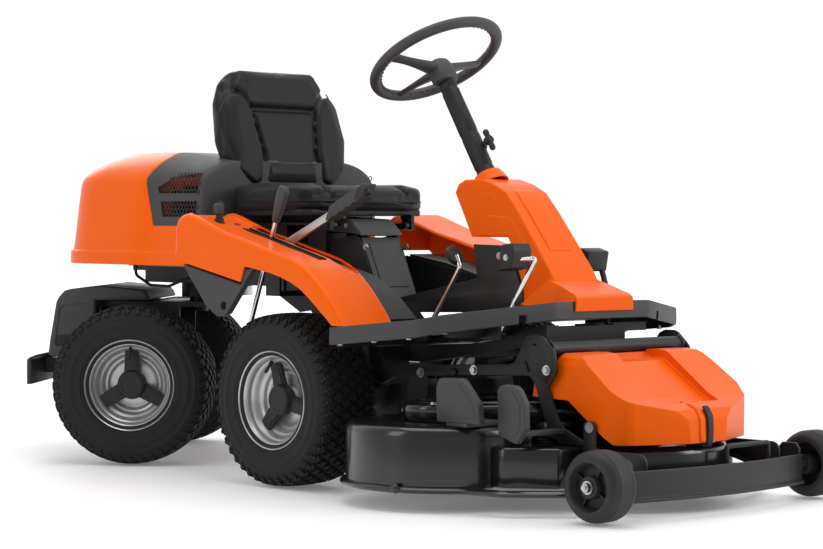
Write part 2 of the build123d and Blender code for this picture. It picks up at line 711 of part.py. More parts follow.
def rim_at(x, y, outward):
    seat = tyre_bead_radius
    bore = axle_stub_radius + running_clearance
    barrel = [(rim_half_width, rim_flange_radius), (rim_half_width - 4, rim_flange_radius - 2),
              (rim_half_width - 7, seat), (44, seat), (34, 86), (-34, 86), (-44, seat), (-rim_half_width + 7, seat),
              (-rim_half_width + 4, rim_flange_radius - 2), (-rim_half_width, rim_flange_radius),
              (-rim_half_width, seat - 4), (-42, seat - 4), (-32, 82), (32, 82), (42, seat - 4),
              (rim_half_width - 2, seat - 4)]
    disc = [(32, 83), (14, 60), (14, 36), (24, 34), (24, bore), (-44, bore), (-44, 34), (8, 36), (8, 62), (26, 83)]
    shape = revolve(Plane.XY * Polygon(*barrel, align=None), axis=Axis.X)
    shape += revolve(Plane.XY * Polygon(*disc, align=None), axis=Axis.X)
    if outward < 0:
        shape = shape.mirror(Plane.YZ)
    return Pos(x, y, tyre_radius) * shape


def deck_wheel_at(x):
    half = deck_wheel_width / 2
    r = deck_wheel_radius
    profile = [(-half, r - 26), (-half + 4, r - 10), (-half + 16, r - 1), (0, r), (half - 16, r - 1),
               (half - 4, r - 10), (half, r - 26), (half - 3, r - 28), (14, r - 30), (14, 26), (half - 4, 24),
               (half - 4, deck_axle_radius + running_clearance), (-half + 4, deck_axle_radius + running_clearance),
               (-half + 4, 24), (8, 26), (8, r - 28), (-half + 3, r - 28)]
    wheel = revolve(Plane.XY * Polygon(*profile, align=None), axis=Axis.X)
    if x < 0:
        wheel = wheel.mirror(Plane.YZ)
    return Pos(x, deck_wheel_y, deck_wheel_radius + deck_wheel_lift) * wheel


# ---- bogie
def bogie_frame():
    top = block(-120, 120, -86, 236, 394, 408)
    kingpin = rod((0, 0, 380), (0, 0, 494), kingpin_radius)
    cheek = block(112, 120, 30, 225, 150, 396)
    cheek -= rod((0, pivot_to_rear_axle, tyre_radius), (300, pivot_to_rear_axle, tyre_radius), axle_tube_radius)
    frame = top + kingpin + both_sides(cheek)
    frame += block(-112, 112, 212, 225, 212, 396)
    frame += block(-50, 50, 225, bumper_y - 1, 212, 252)
    return steered(frame)


def transaxle():
    stub_end = rear_half_track + 34
    inner = rear_half_track - 56
    y = pivot_to_rear_axle
    case = fillet(block(-92, 92, 40, 185, 135, 330).edges().filter_by(Axis.X), 24)
    tube = rod((-inner, y, tyre_radius), (inner, y, tyre_radius), axle_tube_radius - 0.5)
    shaft = rod((-stub_end, y, tyre_radius), (stub_end, y, tyre_radius), axle_stub_radius)
    nut = rod((-stub_end, y, tyre_radius), (-stub_end + 8, y, tyre_radius), 20)
    fan = rod((0, 95, 330), (0, 95, 352), 60)
    return steered(case + tube + shaft + nut + flip(nut) + fan)


def tail_cover():
    outer = [(95, 412), (112, 440), (228, 452), (322, 437), (346, 408), (364, 300), (368, 262), (238, 262),
             (238, 412)]
    shell = side_plate(outer, -tail_half_width, tail_half_width)
    hollow = side_plate([(100, 380), (115, 435), (228, 447), (319, 432), (341, 406), (359, 300), (364, 250),
                         (90, 250)], -tail_half_width + wall, tail_half_width - wall)
    cover = shell - hollow
    web = block(-tail_half_width + 1, tail_half_width - 1, 226, 230, 268, 392)
    side_web = block(-tail_half_width, -tail_half_width + wall, 226, 238, 262, 392)
    return steered(cover + web + side_web + flip(side_web))


def rear_bumper():
    plate = side_plate([(bumper_y, 190), (bumper_y, 256), (bumper_y - 14, 262), (bumper_y - 14, 268),
                        (bumper_y + 6, 260), (bumper_y + 12, 190)], -bumper_half_width, bumper_half_width)
    hitch = block(-40, 40, bumper_y + 8, bumper_y + 46, hitch_z - 4, hitch_z + 4)
    hitch -= rod((0, bumper_y + 28, 200), (0, bumper_y + 28, 300), 8)
    return steered(plate + hitch)


# ---- cutting deck
def deck_discs(side_radius, front_radius, z0, z1):
    shape = Pos(0, front_spindle_y, z0) * Cylinder(front_radius, z1 - z0,
                                                  align=(Align.CENTER, Align.CENTER, Align.MIN))
    for side in (-1, 1):
        shape += Pos(side * side_spindle_x, side_spindle_y, z0) * Cylinder(
            side_radius, z1 - z0, align=(Align.CENTER, Align.CENTER, Align.MIN))
    return shape


def deck_ring_plan(extra, z0, z1):
    shape = deck_discs(side_lobe_radius + extra, front_lobe_radius + 8 + extra, z0, z1)
    bridge = [(235 + extra, side_spindle_y + 60), (440 + extra, -640), (430 + extra, -744),
              (332 + extra, -832 - extra), (150, -900)]
    return shape + plan_plate(mirror_points(bridge), z0, z1)


def deck_shell():
    skin = sheet
    side_top = deck_discs(side_lobe_radius, front_lobe_radius, shell_bottom_z, front_shell_top_z)
    for side in (-1, 1):
        side_top += Pos(side * side_spindle_x, side_spindle_y, shell_bottom_z) * Cylinder(
            side_lobe_radius, shell_top_z - shell_bottom_z, align=(Align.CENTER, Align.CENTER, Align.MIN))
    bridge_outer = plan_plate([(-200, side_spindle_y + 90), (200, side_spindle_y + 90), (385, -650), (300, -790),
                               (-300, -790), (-385, -650)], shell_bottom_z, front_shell_top_z)
    outer = side_top + bridge_outer
    inner = deck_discs(side_lobe_radius - skin, front_lobe_radius - skin, shell_bottom_z - 10,
                       front_shell_top_z - skin)
    for side in (-1, 1):
        inner += Pos(side * side_spindle_x, side_spindle_y, shell_bottom_z - 10) * Cylinder(
            side_lobe_radius - skin, shell_top_z - skin - shell_bottom_z + 10,
            align=(Align.CENTER, Align.CENTER, Align.MIN))
    inner += plan_plate([(-200, side_spindle_y + 87), (200, side_spindle_y + 87), (382, -650), (298, -787),
                         (-298, -787), (-382, -650)], shell_bottom_z - 10, front_shell_top_z - skin)
    shell = outer - inner
    lip = deck_ring_plan(ring_radius_extra, shell_bottom_z - 12, shell_bottom_z)
    lip -= deck_discs(side_lobe_radius - skin, front_lobe_radius - skin, 0, 100)
    lip -= plan_plate([(-200, side_spindle_y + 87), (200, side_spindle_y + 87), (382, -650), (298, -787),
                       (-298, -787), (-382, -650)], 0, 100)
    shell += lip
    for side in (-1, 1):
        hub = Pos(side * side_spindle_x, side_spindle_y, 140) * Cylinder(
            30, shell_top_z - 140 + 6, align=(Align.CENTER, Align.CENTER, Align.MIN))
        shell += hub
        shell -= Pos(side * side_spindle_x, side_spindle_y, 160) * Cylinder(spindle_radius + running_clearance, 200)
        bracket = block(side * (arm_x - arm_thickness - 2), side * (arm_x - arm_thickness - 10), -360, -310,
                        shell_top_z - 1, 250)
        shell += bracket
    shell += Pos(0, front_spindle_y, 110) * Cylinder(30, 76, align=(Align.CENTER, Align.CENTER, Align.MIN))
    shell -= Pos(0, front_spindle_y, 130) * Cylinder(spindle_radius + running_clearance, 200)
    return shell


def blade_at(x, y):
    shaft = rod((x, y, blade_z - 8), (x, y, pulley_bottom_z + 22), spindle_radius)
    pulley = rod((x, y, pulley_bottom_z), (x, y, pulley_bottom_z + 18), pulley_radius)
    pulley -= rod((x, y, pulley_bottom_z + 5), (x, y, pulley_bottom_z + 13), pulley_radius + 10)
    pulley += rod((x, y, pulley_bottom_z), (x, y, pulley_bottom_z + 18), pulley_radius - 8)
    bar = block(x - blade_radius, x + blade_radius, y - 27, y + 27, blade_z, blade_z + 5)
    bar &= Pos(x, y, blade_z) * Cylinder(blade_radius, 40)
    bolt = rod((x, y, blade_z - 12), (x, y, blade_z), 16)
    return shaft + pulley + bar + bolt


def deck_belt():
    def loop(radius):
        circles = [Pos(0, front_spindle_y) * Circle(radius)]
        for side in (-1, 1):
            circles.append(Pos(side * side_spindle_x, side_spindle_y) * Circle(radius))
        edges = []
        for circle in circles:
            edges += circle.edges()
        return make_hull(edges)
    z0 = pulley_bottom_z + 5.5
    outer = extrude(Plane.XY.offset(z0) * loop(pulley_radius + 1.5), amount=7)
    inner = extrude(Plane.XY.offset(z0) * loop(pulley_radius - 7.5), amount=7)
    return outer - inner


def belt_cover():
    def solid(radius, z0, z1):
        edges = []
        for x, y in ((0, front_spindle_y), (side_spindle_x, side_spindle_y), (-side_spindle_x, side_spindle_y)):
            edges += (Pos(x, y) * Circle(radius)).edges()
        return extrude(Plane.XY.offset(z0) * make_hull(edges), amount=z1 - z0)
    radius = pulley_radius + 30
    outer = solid(radius, shell_top_z + 0.5, belt_cover_top_z)
    inner = solid(radius - sheet, shell_top_z - 10, belt_cover_top_z - sheet)
    cover = outer - inner
    return cover - block(-arm_x - 20, arm_x + 20, -372, -280, 0, 300)


def deck_cover():
    side = [(-640, 240), (-640, 312), (-692, 324), (-706, 339), (-760, 337), (-884, 246), (-944, 218),
            (-954, 200), (-957, 146), (-868, 146), (-745, 236)]
    cross = [(226, 140), (225, 240), (212, 318), (190, 339)]
    plan = [(226, -630), (226, -850), (200, -900), (60, -957)]
    cover = side_plate(side, -226, 226)
    cover &= front_plate(mirror_points(cross), -600, -970)
    cover &= plan_plate(mirror_points(plan), 100, 380)
    inner_side = [(-630, 230), (-630, 308), (-690, 320), (-704, 335), (-759, 333), (-882, 242), (-940, 215), (-950, 198),
                  (-953, 130), (-860, 130), (-740, 230)]
    inner = side_plate(inner_side, -222, 222)
    inner &= front_plate(mirror_points([(222, 120), (221, 240), (208, 316), (188, 335)]), -600, -970)
    inner &= plan_plate(mirror_points([(222, -630), (222, -848), (198, -896), (58, -953)]), 90, 380)
    return cover - inner


def equipment_frame():
    # rear arm, raised ear for the cross tube, then the lower arm down to the front wheels
    arm = side_plate([(deck_pivot_y + 20, 246), (deck_pivot_y + 20, 280), (-232, 290), (-590, 310), (-624, 368),
                      (-642, 375), (-676, 375), (-712, 342), (-720, 300), (-692, 262), (-728, 190), (-738, 178),
                      (-800, 152), (-850, 136), (-960, 136), (-975, 120), (-975, 58), (-955, 58), (-845, 92),
                      (-798, 128), (-796, 142), (-726, 142), (-690, 180), (-655, 268), (-640, 285), (-410, 276),
                     (-215, 262), (-180, 246)],
                     arm_x - arm_thickness, arm_x)
    arm -= rod((150, deck_pivot_y, deck_pivot_z), (300, deck_pivot_y, deck_pivot_z), 10 + running_clearance)
    arm -= rod((150, -655, 352), (300, -655, 352), 6)
    frame = both_sides(arm)
    frame += rod((-arm_x + 1, -684, 345), (arm_x - 1, -684, 345), 17)
    frame += block(-arm_x + 1, arm_x - 1, -345, -315, 262, 276)
    for side in (-1, 1):
        frame += block(side * (arm_x - arm_thickness - 1), side * (arm_x - arm_thickness - 9), -345, -315, 250, 270)
        frame += rod((side * (arm_x - 2), -815, 183), (side * (arm_x + 8), -815, 183), 11)
        frame += block(side * (arm_x - arm_thickness), side * arm_x, -832, -798, 120, 196)
    return frame


def front_bumper():
    reach = 296
    sag = 30
    outer = ThreePointArc((-reach, deck_wheel_y - 16), (0, deck_wheel_y - 16 - sag), (reach, deck_wheel_y - 16))
    inner = ThreePointArc((reach, deck_wheel_y - 8), (0, deck_wheel_y - 8 - sag), (-reach, deck_wheel_y - 8))
    loop = outer + Line(outer @ 1, inner @ 0) + inner + Line(inner @ 1, outer @ 0)
    bumper = extrude(Plane.XY.offset(39) * make_face(loop), amount=67)
    wheel_z = deck_wheel_radius + deck_wheel_lift
    for side in (-1, 1):
        bumper += block(side * (reach - 8), side * reach, deck_wheel_y - 20, deck_wheel_y + 40, 45, 130)
        bumper += block(side * (arm_x + 1), side * reach, deck_wheel_y - 20, deck_wheel_y - 9, 60, 100)
        bumper += rod((side * (reach - 2), deck_wheel_y, wheel_z), (side * (deck_wheel_x + 44), deck_wheel_y, wheel_z),
                      deck_axle_radius)
        bumper += rod((side * (deck_wheel_x + 38), deck_wheel_y, wheel_z),
                      (side * (deck_wheel_x + 46), deck_wheel_y, wheel_z), 17)
    bumper += block(30, 206, -998, -962, 80, 85)
    handle = bent_rod([(44, -970, 82), (44, -970, 137), (194, -970, 137), (194, -970, 82)], 5.5, 12)
    return bumper + handle


def deck_guards():
    rear = side_plate([(-561, 190), (-558, 262), (-566, 286), (-636, 288), (-686, 232), (-690, 192)],
                      -446, -422)
    front = side_plate([(-704, 168), (-700, 262), (-718, 278), (-751, 276), (-780, 240), (-782, 186), (-756, 152)],
                       -404, -380)
    shelf = block(-444, -330, -650, -588, shell_top_z, 194)
    arm = block(-398, -240, -751, -721, 166, 176)
    return group(rear + shelf, front + arm)


def chassis_bolts():
    bolts = []
    for side in (-1, 1):
        for y, z in ((60, 560), (-440, 440), (-390, 545)):
            x = side * (tunnel_half_width + 0.2)
            bolts.append(rod((x, y, z), (x + side * 5, y, z), 7))
    return group(*bolts)


def place(shape):
    return Pos(0, row_shift, 0) * shape


def all_parts():
    return {
        "chassis_frame": chassis_frame(),
        "front_axle": front_axle(),
        "footplate": footplate(),
        "footplate_skirt": footplate_skirt(),
        "tunnel": tunnel(),
        "pedestal_cover": pedestal_cover(),
        "console_cover": console_cover(),
        "column_tube": column_tube(),
        "column_sleeve": column_sleeve(),
        "column_knob": column_knob(),
        "steering_wheel": steering_wheel(),
        "fender_right": fender_right(),
        "fender_left": fender_left(),
        "fender_trims": fender_trims(),
        "engine_block": engine_block(),
        "engine_pulley": engine_pulley(),
        "muffler": muffler(),
        "fuel_tank": fuel_tank(),
        "battery": battery(),
        "harness_cable": harness_cable(),
        "chassis_bolts": chassis_bolts(),
        "seat_bracket": seat_bracket(),
        "seat_pan": seat_pan(),
        "seat_cushion": seat_cushion(),
        "seat_backrest": seat_backrest(),
        "hood": hood(),
        "hood_grille": hood_grille(),
        "lift_lever": lift_lever(),
        "lift_grip": lift_grip(),
        "lift_button": lift_button(),
        "height_lever": height_lever(),
        "throttle_lever": throttle_lever(),
        "ignition_key": ignition_key(),
        "forward_pedal": forward_pedal(),
        "reverse_pedal": reverse_pedal(),
        "brake_pedal": brake_pedal(),
        "tyre_front_right": tyre_at(-front_half_track, 0),
        "tyre_front_left": tyre_at(front_half_track, 0),
        "rim_front_right": rim_at(-front_half_track, 0, -1),
        "rim_front_left": rim_at(front_half_track, 0, 1),
        "tyre_rear_right": steered(tyre_at(-rear_half_track, pivot_to_rear_axle)),
        "tyre_rear_left": steered(tyre_at(rear_half_track, pivot_to_rear_axle)),
        "rim_rear_right": steered(rim_at(-rear_half_track, pivot_to_rear_axle, -1)),
        "rim_rear_left": steered(rim_at(rear_half_track, pivot_to_rear_axle, 1)),
        "bogie_frame": bogie_frame(),
        "transaxle": transaxle(),
        "tail_cover": tail_cover(),
        "rear_bumper": rear_bumper(),
        "equipment_frame": equipment_frame(),
        "deck_shell": deck_shell(),
        "belt_cover": belt_cover(),
        "deck_cover": deck_cover(),
        "front_bumper": front_bumper(),
        "deck_guards": deck_guards(),
        "deck_belt": deck_belt(),
        "deck_wheel_right": deck_wheel_at(-deck_wheel_x),
        "deck_wheel_left": deck_wheel_at(deck_wheel_x),
        "blade_right": blade_at(-side_spindle_x, side_spindle_y),
        "blade_left": blade_at(side_spindle_x, side_spindle_y),
        "blade_front": blade_at(0, front_spindle_y),
    }


def export_parts():
    os.makedirs("parts", exist_ok=True)
    for name, shape in all_parts().items():
        export_step(place(shape), f"parts/{name}.step")


if __name__ == "__main__":
    export_parts()
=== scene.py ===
import bmesh
import bpy
import json
import math
from mathutils import Matrix, Vector


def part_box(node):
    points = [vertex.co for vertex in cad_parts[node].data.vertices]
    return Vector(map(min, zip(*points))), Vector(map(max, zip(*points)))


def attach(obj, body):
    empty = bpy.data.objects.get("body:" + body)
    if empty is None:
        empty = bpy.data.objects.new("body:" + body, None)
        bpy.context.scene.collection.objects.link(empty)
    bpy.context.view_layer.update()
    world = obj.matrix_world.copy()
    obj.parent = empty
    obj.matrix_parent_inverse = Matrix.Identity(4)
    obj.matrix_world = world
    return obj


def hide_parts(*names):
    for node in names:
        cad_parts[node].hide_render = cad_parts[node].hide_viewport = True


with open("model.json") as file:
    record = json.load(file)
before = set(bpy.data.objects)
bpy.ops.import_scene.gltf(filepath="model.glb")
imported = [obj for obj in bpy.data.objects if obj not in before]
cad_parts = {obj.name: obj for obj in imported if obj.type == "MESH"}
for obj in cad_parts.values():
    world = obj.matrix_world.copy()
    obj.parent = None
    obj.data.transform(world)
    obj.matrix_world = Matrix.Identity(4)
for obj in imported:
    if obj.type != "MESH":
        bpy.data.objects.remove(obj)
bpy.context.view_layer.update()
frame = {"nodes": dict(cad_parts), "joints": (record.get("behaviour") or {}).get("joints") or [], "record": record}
joints = {j["name"]: j for j in frame["joints"]}


def middleOf(node):
    low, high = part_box(node)
    return (low + high) / 2


# stations are in millimetres: x to the driver's left, y back from the front axle, z up from the ground
axleY = middleOf("tyre_front_right").y
pivotY = 781
steerTurn = math.radians(40.3)


def at(x, y, z):
    return Vector((x / 1000, y / 1000 + axleY, z / 1000))


def onBogie(x, y, z):
    # a station on the rear bogie, before its steering turn
    c, s = math.cos(steerTurn), math.sin(steerTurn)
    return at(x * c - y * s, pivotY + x * s + y * c, z)


# shading
def paintNode(tree, kind, **values):
    node = tree.nodes.new(kind)
    for key, value in values.items():
        if key in node.inputs:
            node.inputs[key].default_value = value
        else:
            setattr(node, key, value)
    return node


def makeFinish(name, look):
    # look: tint, second tint, roughness span, metallic, coat, grain size and depth, blotch size, scratches
    mat = bpy.data.materials.new(name)
    mat.use_nodes = True
    tree = mat.node_tree
    link = tree.links.new
    shader = tree.nodes["Principled BSDF"]
    where = paintNode(tree, "ShaderNodeTexCoord")
    blotch = paintNode(tree, "ShaderNodeTexNoise", Scale=look.get("blotch", 9.0), Detail=5.0, Roughness=0.6)
    link(where.outputs["Object"], blotch.inputs["Vector"])
    tint = paintNode(tree, "ShaderNodeMix", data_type="RGBA")
    tint.inputs["A"].default_value = (*look["tint"], 1)
    tint.inputs["B"].default_value = (*look.get("tint2", look["tint"]), 1)
    link(blotch.outputs["Fac"], tint.inputs["Factor"])
    base = tint.outputs["Result"]
    if look.get("wear"):
        worn = paintNode(tree, "ShaderNodeTexNoise", Scale=look.get("wearScale", 45.0), Detail=8.0,
                         Roughness=0.72)
        link(where.outputs["Object"], worn.inputs["Vector"])
        cut = paintNode(tree, "ShaderNodeMapRange")
        cut.inputs["From Min"].default_value = 0.62
        cut.inputs["From Max"].default_value = 0.74
        cut.inputs["To Max"].default_value = look["wear"]
        link(worn.outputs["Fac"], cut.inputs["Value"])
        wornTint = paintNode(tree, "ShaderNodeMix", data_type="RGBA")
        link(base, wornTint.inputs["A"])
        wornTint.inputs["B"].default_value = (*look["wornTint"], 1)
        link(cut.outputs["Result"], wornTint.inputs["Factor"])
        base = wornTint.outputs["Result"]
    link(base, shader.inputs["Base Color"])
    rough = paintNode(tree, "ShaderNodeMapRange")
    rough.inputs["To Min"].default_value = look["rough"][0]
    rough.inputs["To Max"].default_value = look["rough"][1]
    smear = paintNode(tree, "ShaderNodeTexNoise", Scale=look.get("smear", 30.0), Detail=6.0, Roughness=0.65)
    link(where.outputs["Object"], smear.inputs["Vector"])
    link(smear.outputs["Fac"], rough.inputs["Value"])
    link(rough.outputs["Result"], shader.inputs["Roughness"])
    grain = paintNode(tree, "ShaderNodeTexNoise", Scale=look.get("grain", 700.0), Detail=3.0, Roughness=0.55)
    if look.get("cells"):
        grain = paintNode(tree, "ShaderNodeTexVoronoi", Scale=look["cells"], feature="SMOOTH_F1")
    if look.get("brushed"):
        stretch = paintNode(tree, "ShaderNodeMapping")
        stretch.inputs["Scale"].default_value = look["brushed"]
        link(where.outputs["Object"], stretch.inputs["Vector"])
        link(stretch.outputs["Vector"], grain.inputs["Vector"])
    else:
        link(where.outputs["Object"], grain.inputs["Vector"])
    bump = paintNode(tree, "ShaderNodeBump", Strength=look.get("bump", 0.15),
                     Distance=look.get("depth", 0.0004))
    link(grain.outputs[0], bump.inputs["Height"])
    last = bump
    if look.get("waves"):
        slow = paintNode(tree, "ShaderNodeBump", Strength=look["waves"], Distance=0.004)
        link(blotch.outputs["Fac"], slow.inputs["Height"])
        link(bump.outputs["Normal"], slow.inputs["Normal"])
        last = slow
    link(last.outputs["Normal"], shader.inputs["Normal"])
    shader.inputs["Metallic"].default_value = look.get("metal", 0.0)
    shader.inputs["Coat Weight"].default_value = look.get("coat", 0.0)
    shader.inputs["Coat Roughness"].default_value = look.get("coatRough", 0.1)
    shader.inputs["Specular IOR Level"].default_value = look.get("specular", 0.5)
    shader.inputs["Specular Tint"].default_value = (*look.get("gloss", (1, 1, 1)), 1)
    shader.inputs["Sheen Weight"].default_value = look.get("sheen", 0.0)
    return mat


looks = {
    "orangeShell": {"tint": (0.93, 0.124, 0.0), "tint2": (0.86, 0.106, 0.0), "rough": (0.28, 0.38),
                    "blotch": 3.0, "grain": 900.0, "bump": 0.05, "coat": 0.05, "coatRough": 0.13,
                    "waves": 0.02, "specular": 0.24, "gloss": (1.0, 0.5, 0.2)},
    "greyMoulding": {"tint": (0.038, 0.039, 0.040), "tint2": (0.050, 0.051, 0.053), "specular": 0.4,
                     "rough": (0.46, 0.62), "cells": 850.0, "bump": 0.25, "blotch": 5.0},
    "blackMoulding": {"tint": (0.008, 0.008, 0.0085), "tint2": (0.013, 0.013, 0.0135), "specular": 0.35,
                      "rough": (0.38, 0.55), "cells": 900.0, "bump": 0.22, "blotch": 8.0},
    "powderCoat": {"tint": (0.010, 0.010, 0.0105), "tint2": (0.016, 0.016, 0.0165), "specular": 0.4,
                   "rough": (0.36, 0.5), "grain": 520.0, "bump": 0.25, "wear": 0.35,
                   "wornTint": (0.055, 0.054, 0.053), "wearScale": 30.0},
    "deckPaint": {"tint": (0.007, 0.007, 0.0075), "tint2": (0.011, 0.011, 0.0115), "specular": 0.4,
                  "rough": (0.18, 0.28), "grain": 300.0, "bump": 0.04, "coat": 0.45, "coatRough": 0.12,
                  "waves": 0.05, "blotch": 6.0},
    "rimPaint": {"tint": (0.54, 0.54, 0.55), "tint2": (0.46, 0.46, 0.47), "rough": (0.26, 0.38),
                 "metal": 0.65, "grain": 1500.0, "bump": 0.06, "coat": 0.4, "coatRough": 0.2},
    "tyreRubber": {"tint": (0.009, 0.009, 0.009), "tint2": (0.017, 0.0165, 0.016), "specular": 0.3,
                   "rough": (0.62, 0.82), "grain": 260.0, "bump": 0.35, "depth": 0.0008, "wear": 0.5,
                   "wornTint": (0.030, 0.029, 0.028), "wearScale": 60.0, "blotch": 14.0},
    "wheelRubber": {"tint": (0.018, 0.018, 0.0185), "tint2": (0.026, 0.026, 0.0265), "specular": 0.35,
                    "rough": (0.5, 0.66), "cells": 700.0, "bump": 0.2, "blotch": 12.0},
    "seatVinyl": {"tint": (0.0035, 0.0035, 0.0038), "tint2": (0.006, 0.006, 0.0063), "specular": 0.28,
                  "rough": (0.38, 0.5), "cells": 560.0, "bump": 0.45, "depth": 0.0006, "sheen": 0.03,
                  "blotch": 7.0},
    "brightRod": {"tint": (0.72, 0.72, 0.72), "tint2": (0.6, 0.6, 0.61), "rough": (0.10, 0.22),
                  "metal": 1.0, "grain": 900.0, "bump": 0.04},
    "zincPlate": {"tint": (0.62, 0.61, 0.59), "tint2": (0.50, 0.49, 0.47), "rough": (0.24, 0.42),
                  "metal": 1.0, "grain": 420.0, "brushed": (1.0, 8.0, 8.0), "bump": 0.18, "wear": 0.5,
                  "wornTint": (0.36, 0.34, 0.31)},
    "castAlloy": {"tint": (0.30, 0.30, 0.31), "tint2": (0.22, 0.22, 0.225), "rough": (0.45, 0.65),
                  "metal": 0.85, "grain": 240.0, "bump": 0.5, "depth": 0.0008},
    "blackCasting": {"tint": (0.018, 0.018, 0.018), "tint2": (0.03, 0.03, 0.03), "rough": (0.45, 0.65),
                     "grain": 200.0, "bump": 0.5, "depth": 0.0008, "wear": 0.4,
                     "wornTint": (0.06, 0.055, 0.05)},
}
finishes = {name: makeFinish(name, look) for name, look in looks.items()}
print("finishes ready")


# modelling helpers; outlines are in millimetres
def slab(bm, outline, axis, start, end, place=at):
    spots = {"x": lambda u, v, w: place(w, u, v), "y": lambda u, v, w: place(u, w, v),
             "z": lambda u, v, w: place(u, v, w)}[axis]
    face = bm.faces.new([bm.verts.new(spots(u, v, start)) for u, v in outline])
    grown = bmesh.ops.extrude_face_region(bm, geom=[face])["geom"]
    top = [g for g in grown if isinstance(g, bmesh.types.BMVert)]
    bmesh.ops.translate(bm, verts=top, vec=spots(0, 0, end) - spots(0, 0, start))
    return top


def lathe(bm, profile, centre, axis, steps=64):
    # profile: (radius, distance along the axis) in millimetres
    axis = axis.normalized()
    side = axis.orthogonal().normalized()
    verts = [bm.verts.new(centre + side * (r / 1000) + axis * (a / 1000)) for r, a in profile]
    edges = [bm.edges.new(pair) for pair in zip(verts, verts[1:])]
    bmesh.ops.spin(bm, geom=verts + edges, cent=centre, axis=axis, angle=math.tau, steps=steps,
                   use_merge=True)


def bolt(bm, centre, axis, radius=6.5, height=4.5):
    # hexagon head on a washer
    axis = axis.normalized()
    turn = Vector((0, 0, 1)).rotation_difference(axis).to_matrix().to_4x4()
    spot = Matrix.Translation(centre) @ turn
    for sides, r, depth, lift in ((24, radius * 1.45, 1.4, 0.7), (6, radius, height, height / 2 + 1.0)):
        bmesh.ops.create_cone(bm, cap_ends=True, segments=sides, radius1=r / 1000, radius2=r * 0.97 / 1000,
                              depth=depth / 1000, matrix=spot @ Matrix.Translation((0, 0, lift / 1000)))


def loft(bm, rings, place=at, capped=True):
    # rings: closed outlines of the same number of (x, y, z) points
    loops = []
    for ring in rings:
        verts = [bm.verts.new(place(*p)) for p in ring]
        loops.append([bm.edges.new((verts[i - 1], verts[i])) for i in range(len(verts))])
    for a, b in zip(loops, loops[1:]):
        bmesh.ops.bridge_loops(bm, edges=a + b)
    if capped:
        for loop in (loops[0], loops[-1]):
            bmesh.ops.contextual_create(bm, geom=loop)


def softenEdges(bm, width, segments=2, above=28):
    sharp = [e for e in bm.edges if e.is_manifold and e.calc_face_angle(0) > math.radians(above)]
    if sharp:
        bmesh.ops.bevel(bm, geom=sharp, offset=width / 1000, offset_type="OFFSET", affect="EDGES",
                        segments=segments, profile=0.5, clamp_overlap=True, material=-1)


def flipAcross(bm):
    # mirrors everything in bm to the other side of the machine
    bmesh.ops.scale(bm, vec=(-1, 1, 1), verts=bm.verts)
    bmesh.ops.reverse_faces(bm, faces=bm.faces)


def addPiece(name, bm, finish, body, stands=(), round=0, segments=2, crease=30, levels=0, outward=True,
             thick=0):
    bmesh.ops.remove_doubles(bm, verts=bm.verts, dist=2e-6)
    if outward:
        bmesh.ops.recalc_face_normals(bm, faces=bm.faces)
    if round:
        softenEdges(bm, round, segments)
    mesh = bpy.data.meshes.new(name)
    bm.to_mesh(mesh)
    bm.free()
    for face in mesh.polygons:
        face.use_smooth = True
    mesh.set_sharp_from_angle(angle=math.radians(crease))
    piece = bpy.data.objects.new(name, mesh)
    bpy.context.scene.collection.objects.link(piece)
    mesh.materials.append(finishes[finish])
    if thick:
        wall = piece.modifiers.new("wall", "SOLIDIFY")
        wall.thickness = thick / 1000
        wall.offset = -1
        wall.use_even_offset = True
    if levels:
        soft = piece.modifiers.new("soft", "SUBSURF")
        soft.levels = soft.render_levels = levels
    if round:
        shade = piece.modifiers.new("flats", "WEIGHTED_NORMAL")
        shade.keep_sharp = True
    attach(piece, body)
    if stands:
        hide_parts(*stands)
    return piece


def addRod(name, points, radius, finish, body, stands=(), order=3):
    # a bent rod: a smooth spline through stations, with closed ends
    line = bpy.data.curves.new(name, "CURVE")
    line.dimensions = "3D"
    line.bevel_depth = radius / 1000
    line.bevel_resolution = 5
    line.resolution_u = 16
    line.use_fill_caps = True
    spline = line.splines.new("NURBS")
    spline.points.add(len(points) - 1)
    for spot, point in zip(spline.points, points):
        spot.co = (*point, 1)
    spline.order_u = order
    spline.use_endpoint_u = True
    rod = bpy.data.objects.new(name, line)
    bpy.context.scene.collection.objects.link(rod)
    line.materials.append(finishes[finish])
    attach(rod, body)
    if stands:
        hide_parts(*stands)
    return rod


def tempObject(bm, name="temp"):
    mesh = bpy.data.meshes.new(name)
    bm.to_mesh(mesh)
    bm.free()
    holder = bpy.data.objects.new(name, mesh)
    bpy.context.scene.collection.objects.link(holder)
    return holder


def placed(outline, axis, start, end, place=at, round=0, segments=3, above=28):
    # a closed prism as its own mesh
    bm = bmesh.new()
    slab(bm, outline, axis, start, end, place)
    bmesh.ops.recalc_face_normals(bm, faces=bm.faces)
    if round:
        softenEdges(bm, round, segments, above)
    return bm


def prism(outline, axis, start, end, place=at, round=0):
    return tempObject(placed(outline, axis, start, end, place, round), "cutter")


def panel(outline, axis, start, end, round=8, segments=3, place=at):
    # a softly rounded upholstery block
    return placed(outline, axis, start, end, place, round, segments, above=20)


def joined(*parts):
    whole = bmesh.new()
    for part in parts:
        mesh = bpy.data.meshes.new("part")
        part.to_mesh(mesh)
        part.free()
        whole.from_mesh(mesh)
        bpy.data.meshes.remove(mesh)
    return whole


def meshOf(holder):
    # takes a holder's shape back as a bmesh and drops the holder
    bm = bmesh.new()
    bm.from_mesh(holder.data)
    bpy.data.objects.remove(holder)
    return bm


def crossPin(bm, spot, radius, length):
    bmesh.ops.create_cone(bm, cap_ends=True, segments=32, radius1=radius / 1000, radius2=radius / 1000,
                          depth=length / 1000, matrix=Matrix.Translation(spot)
                          @ Matrix.Rotation(math.pi / 2, 4, "Y"))


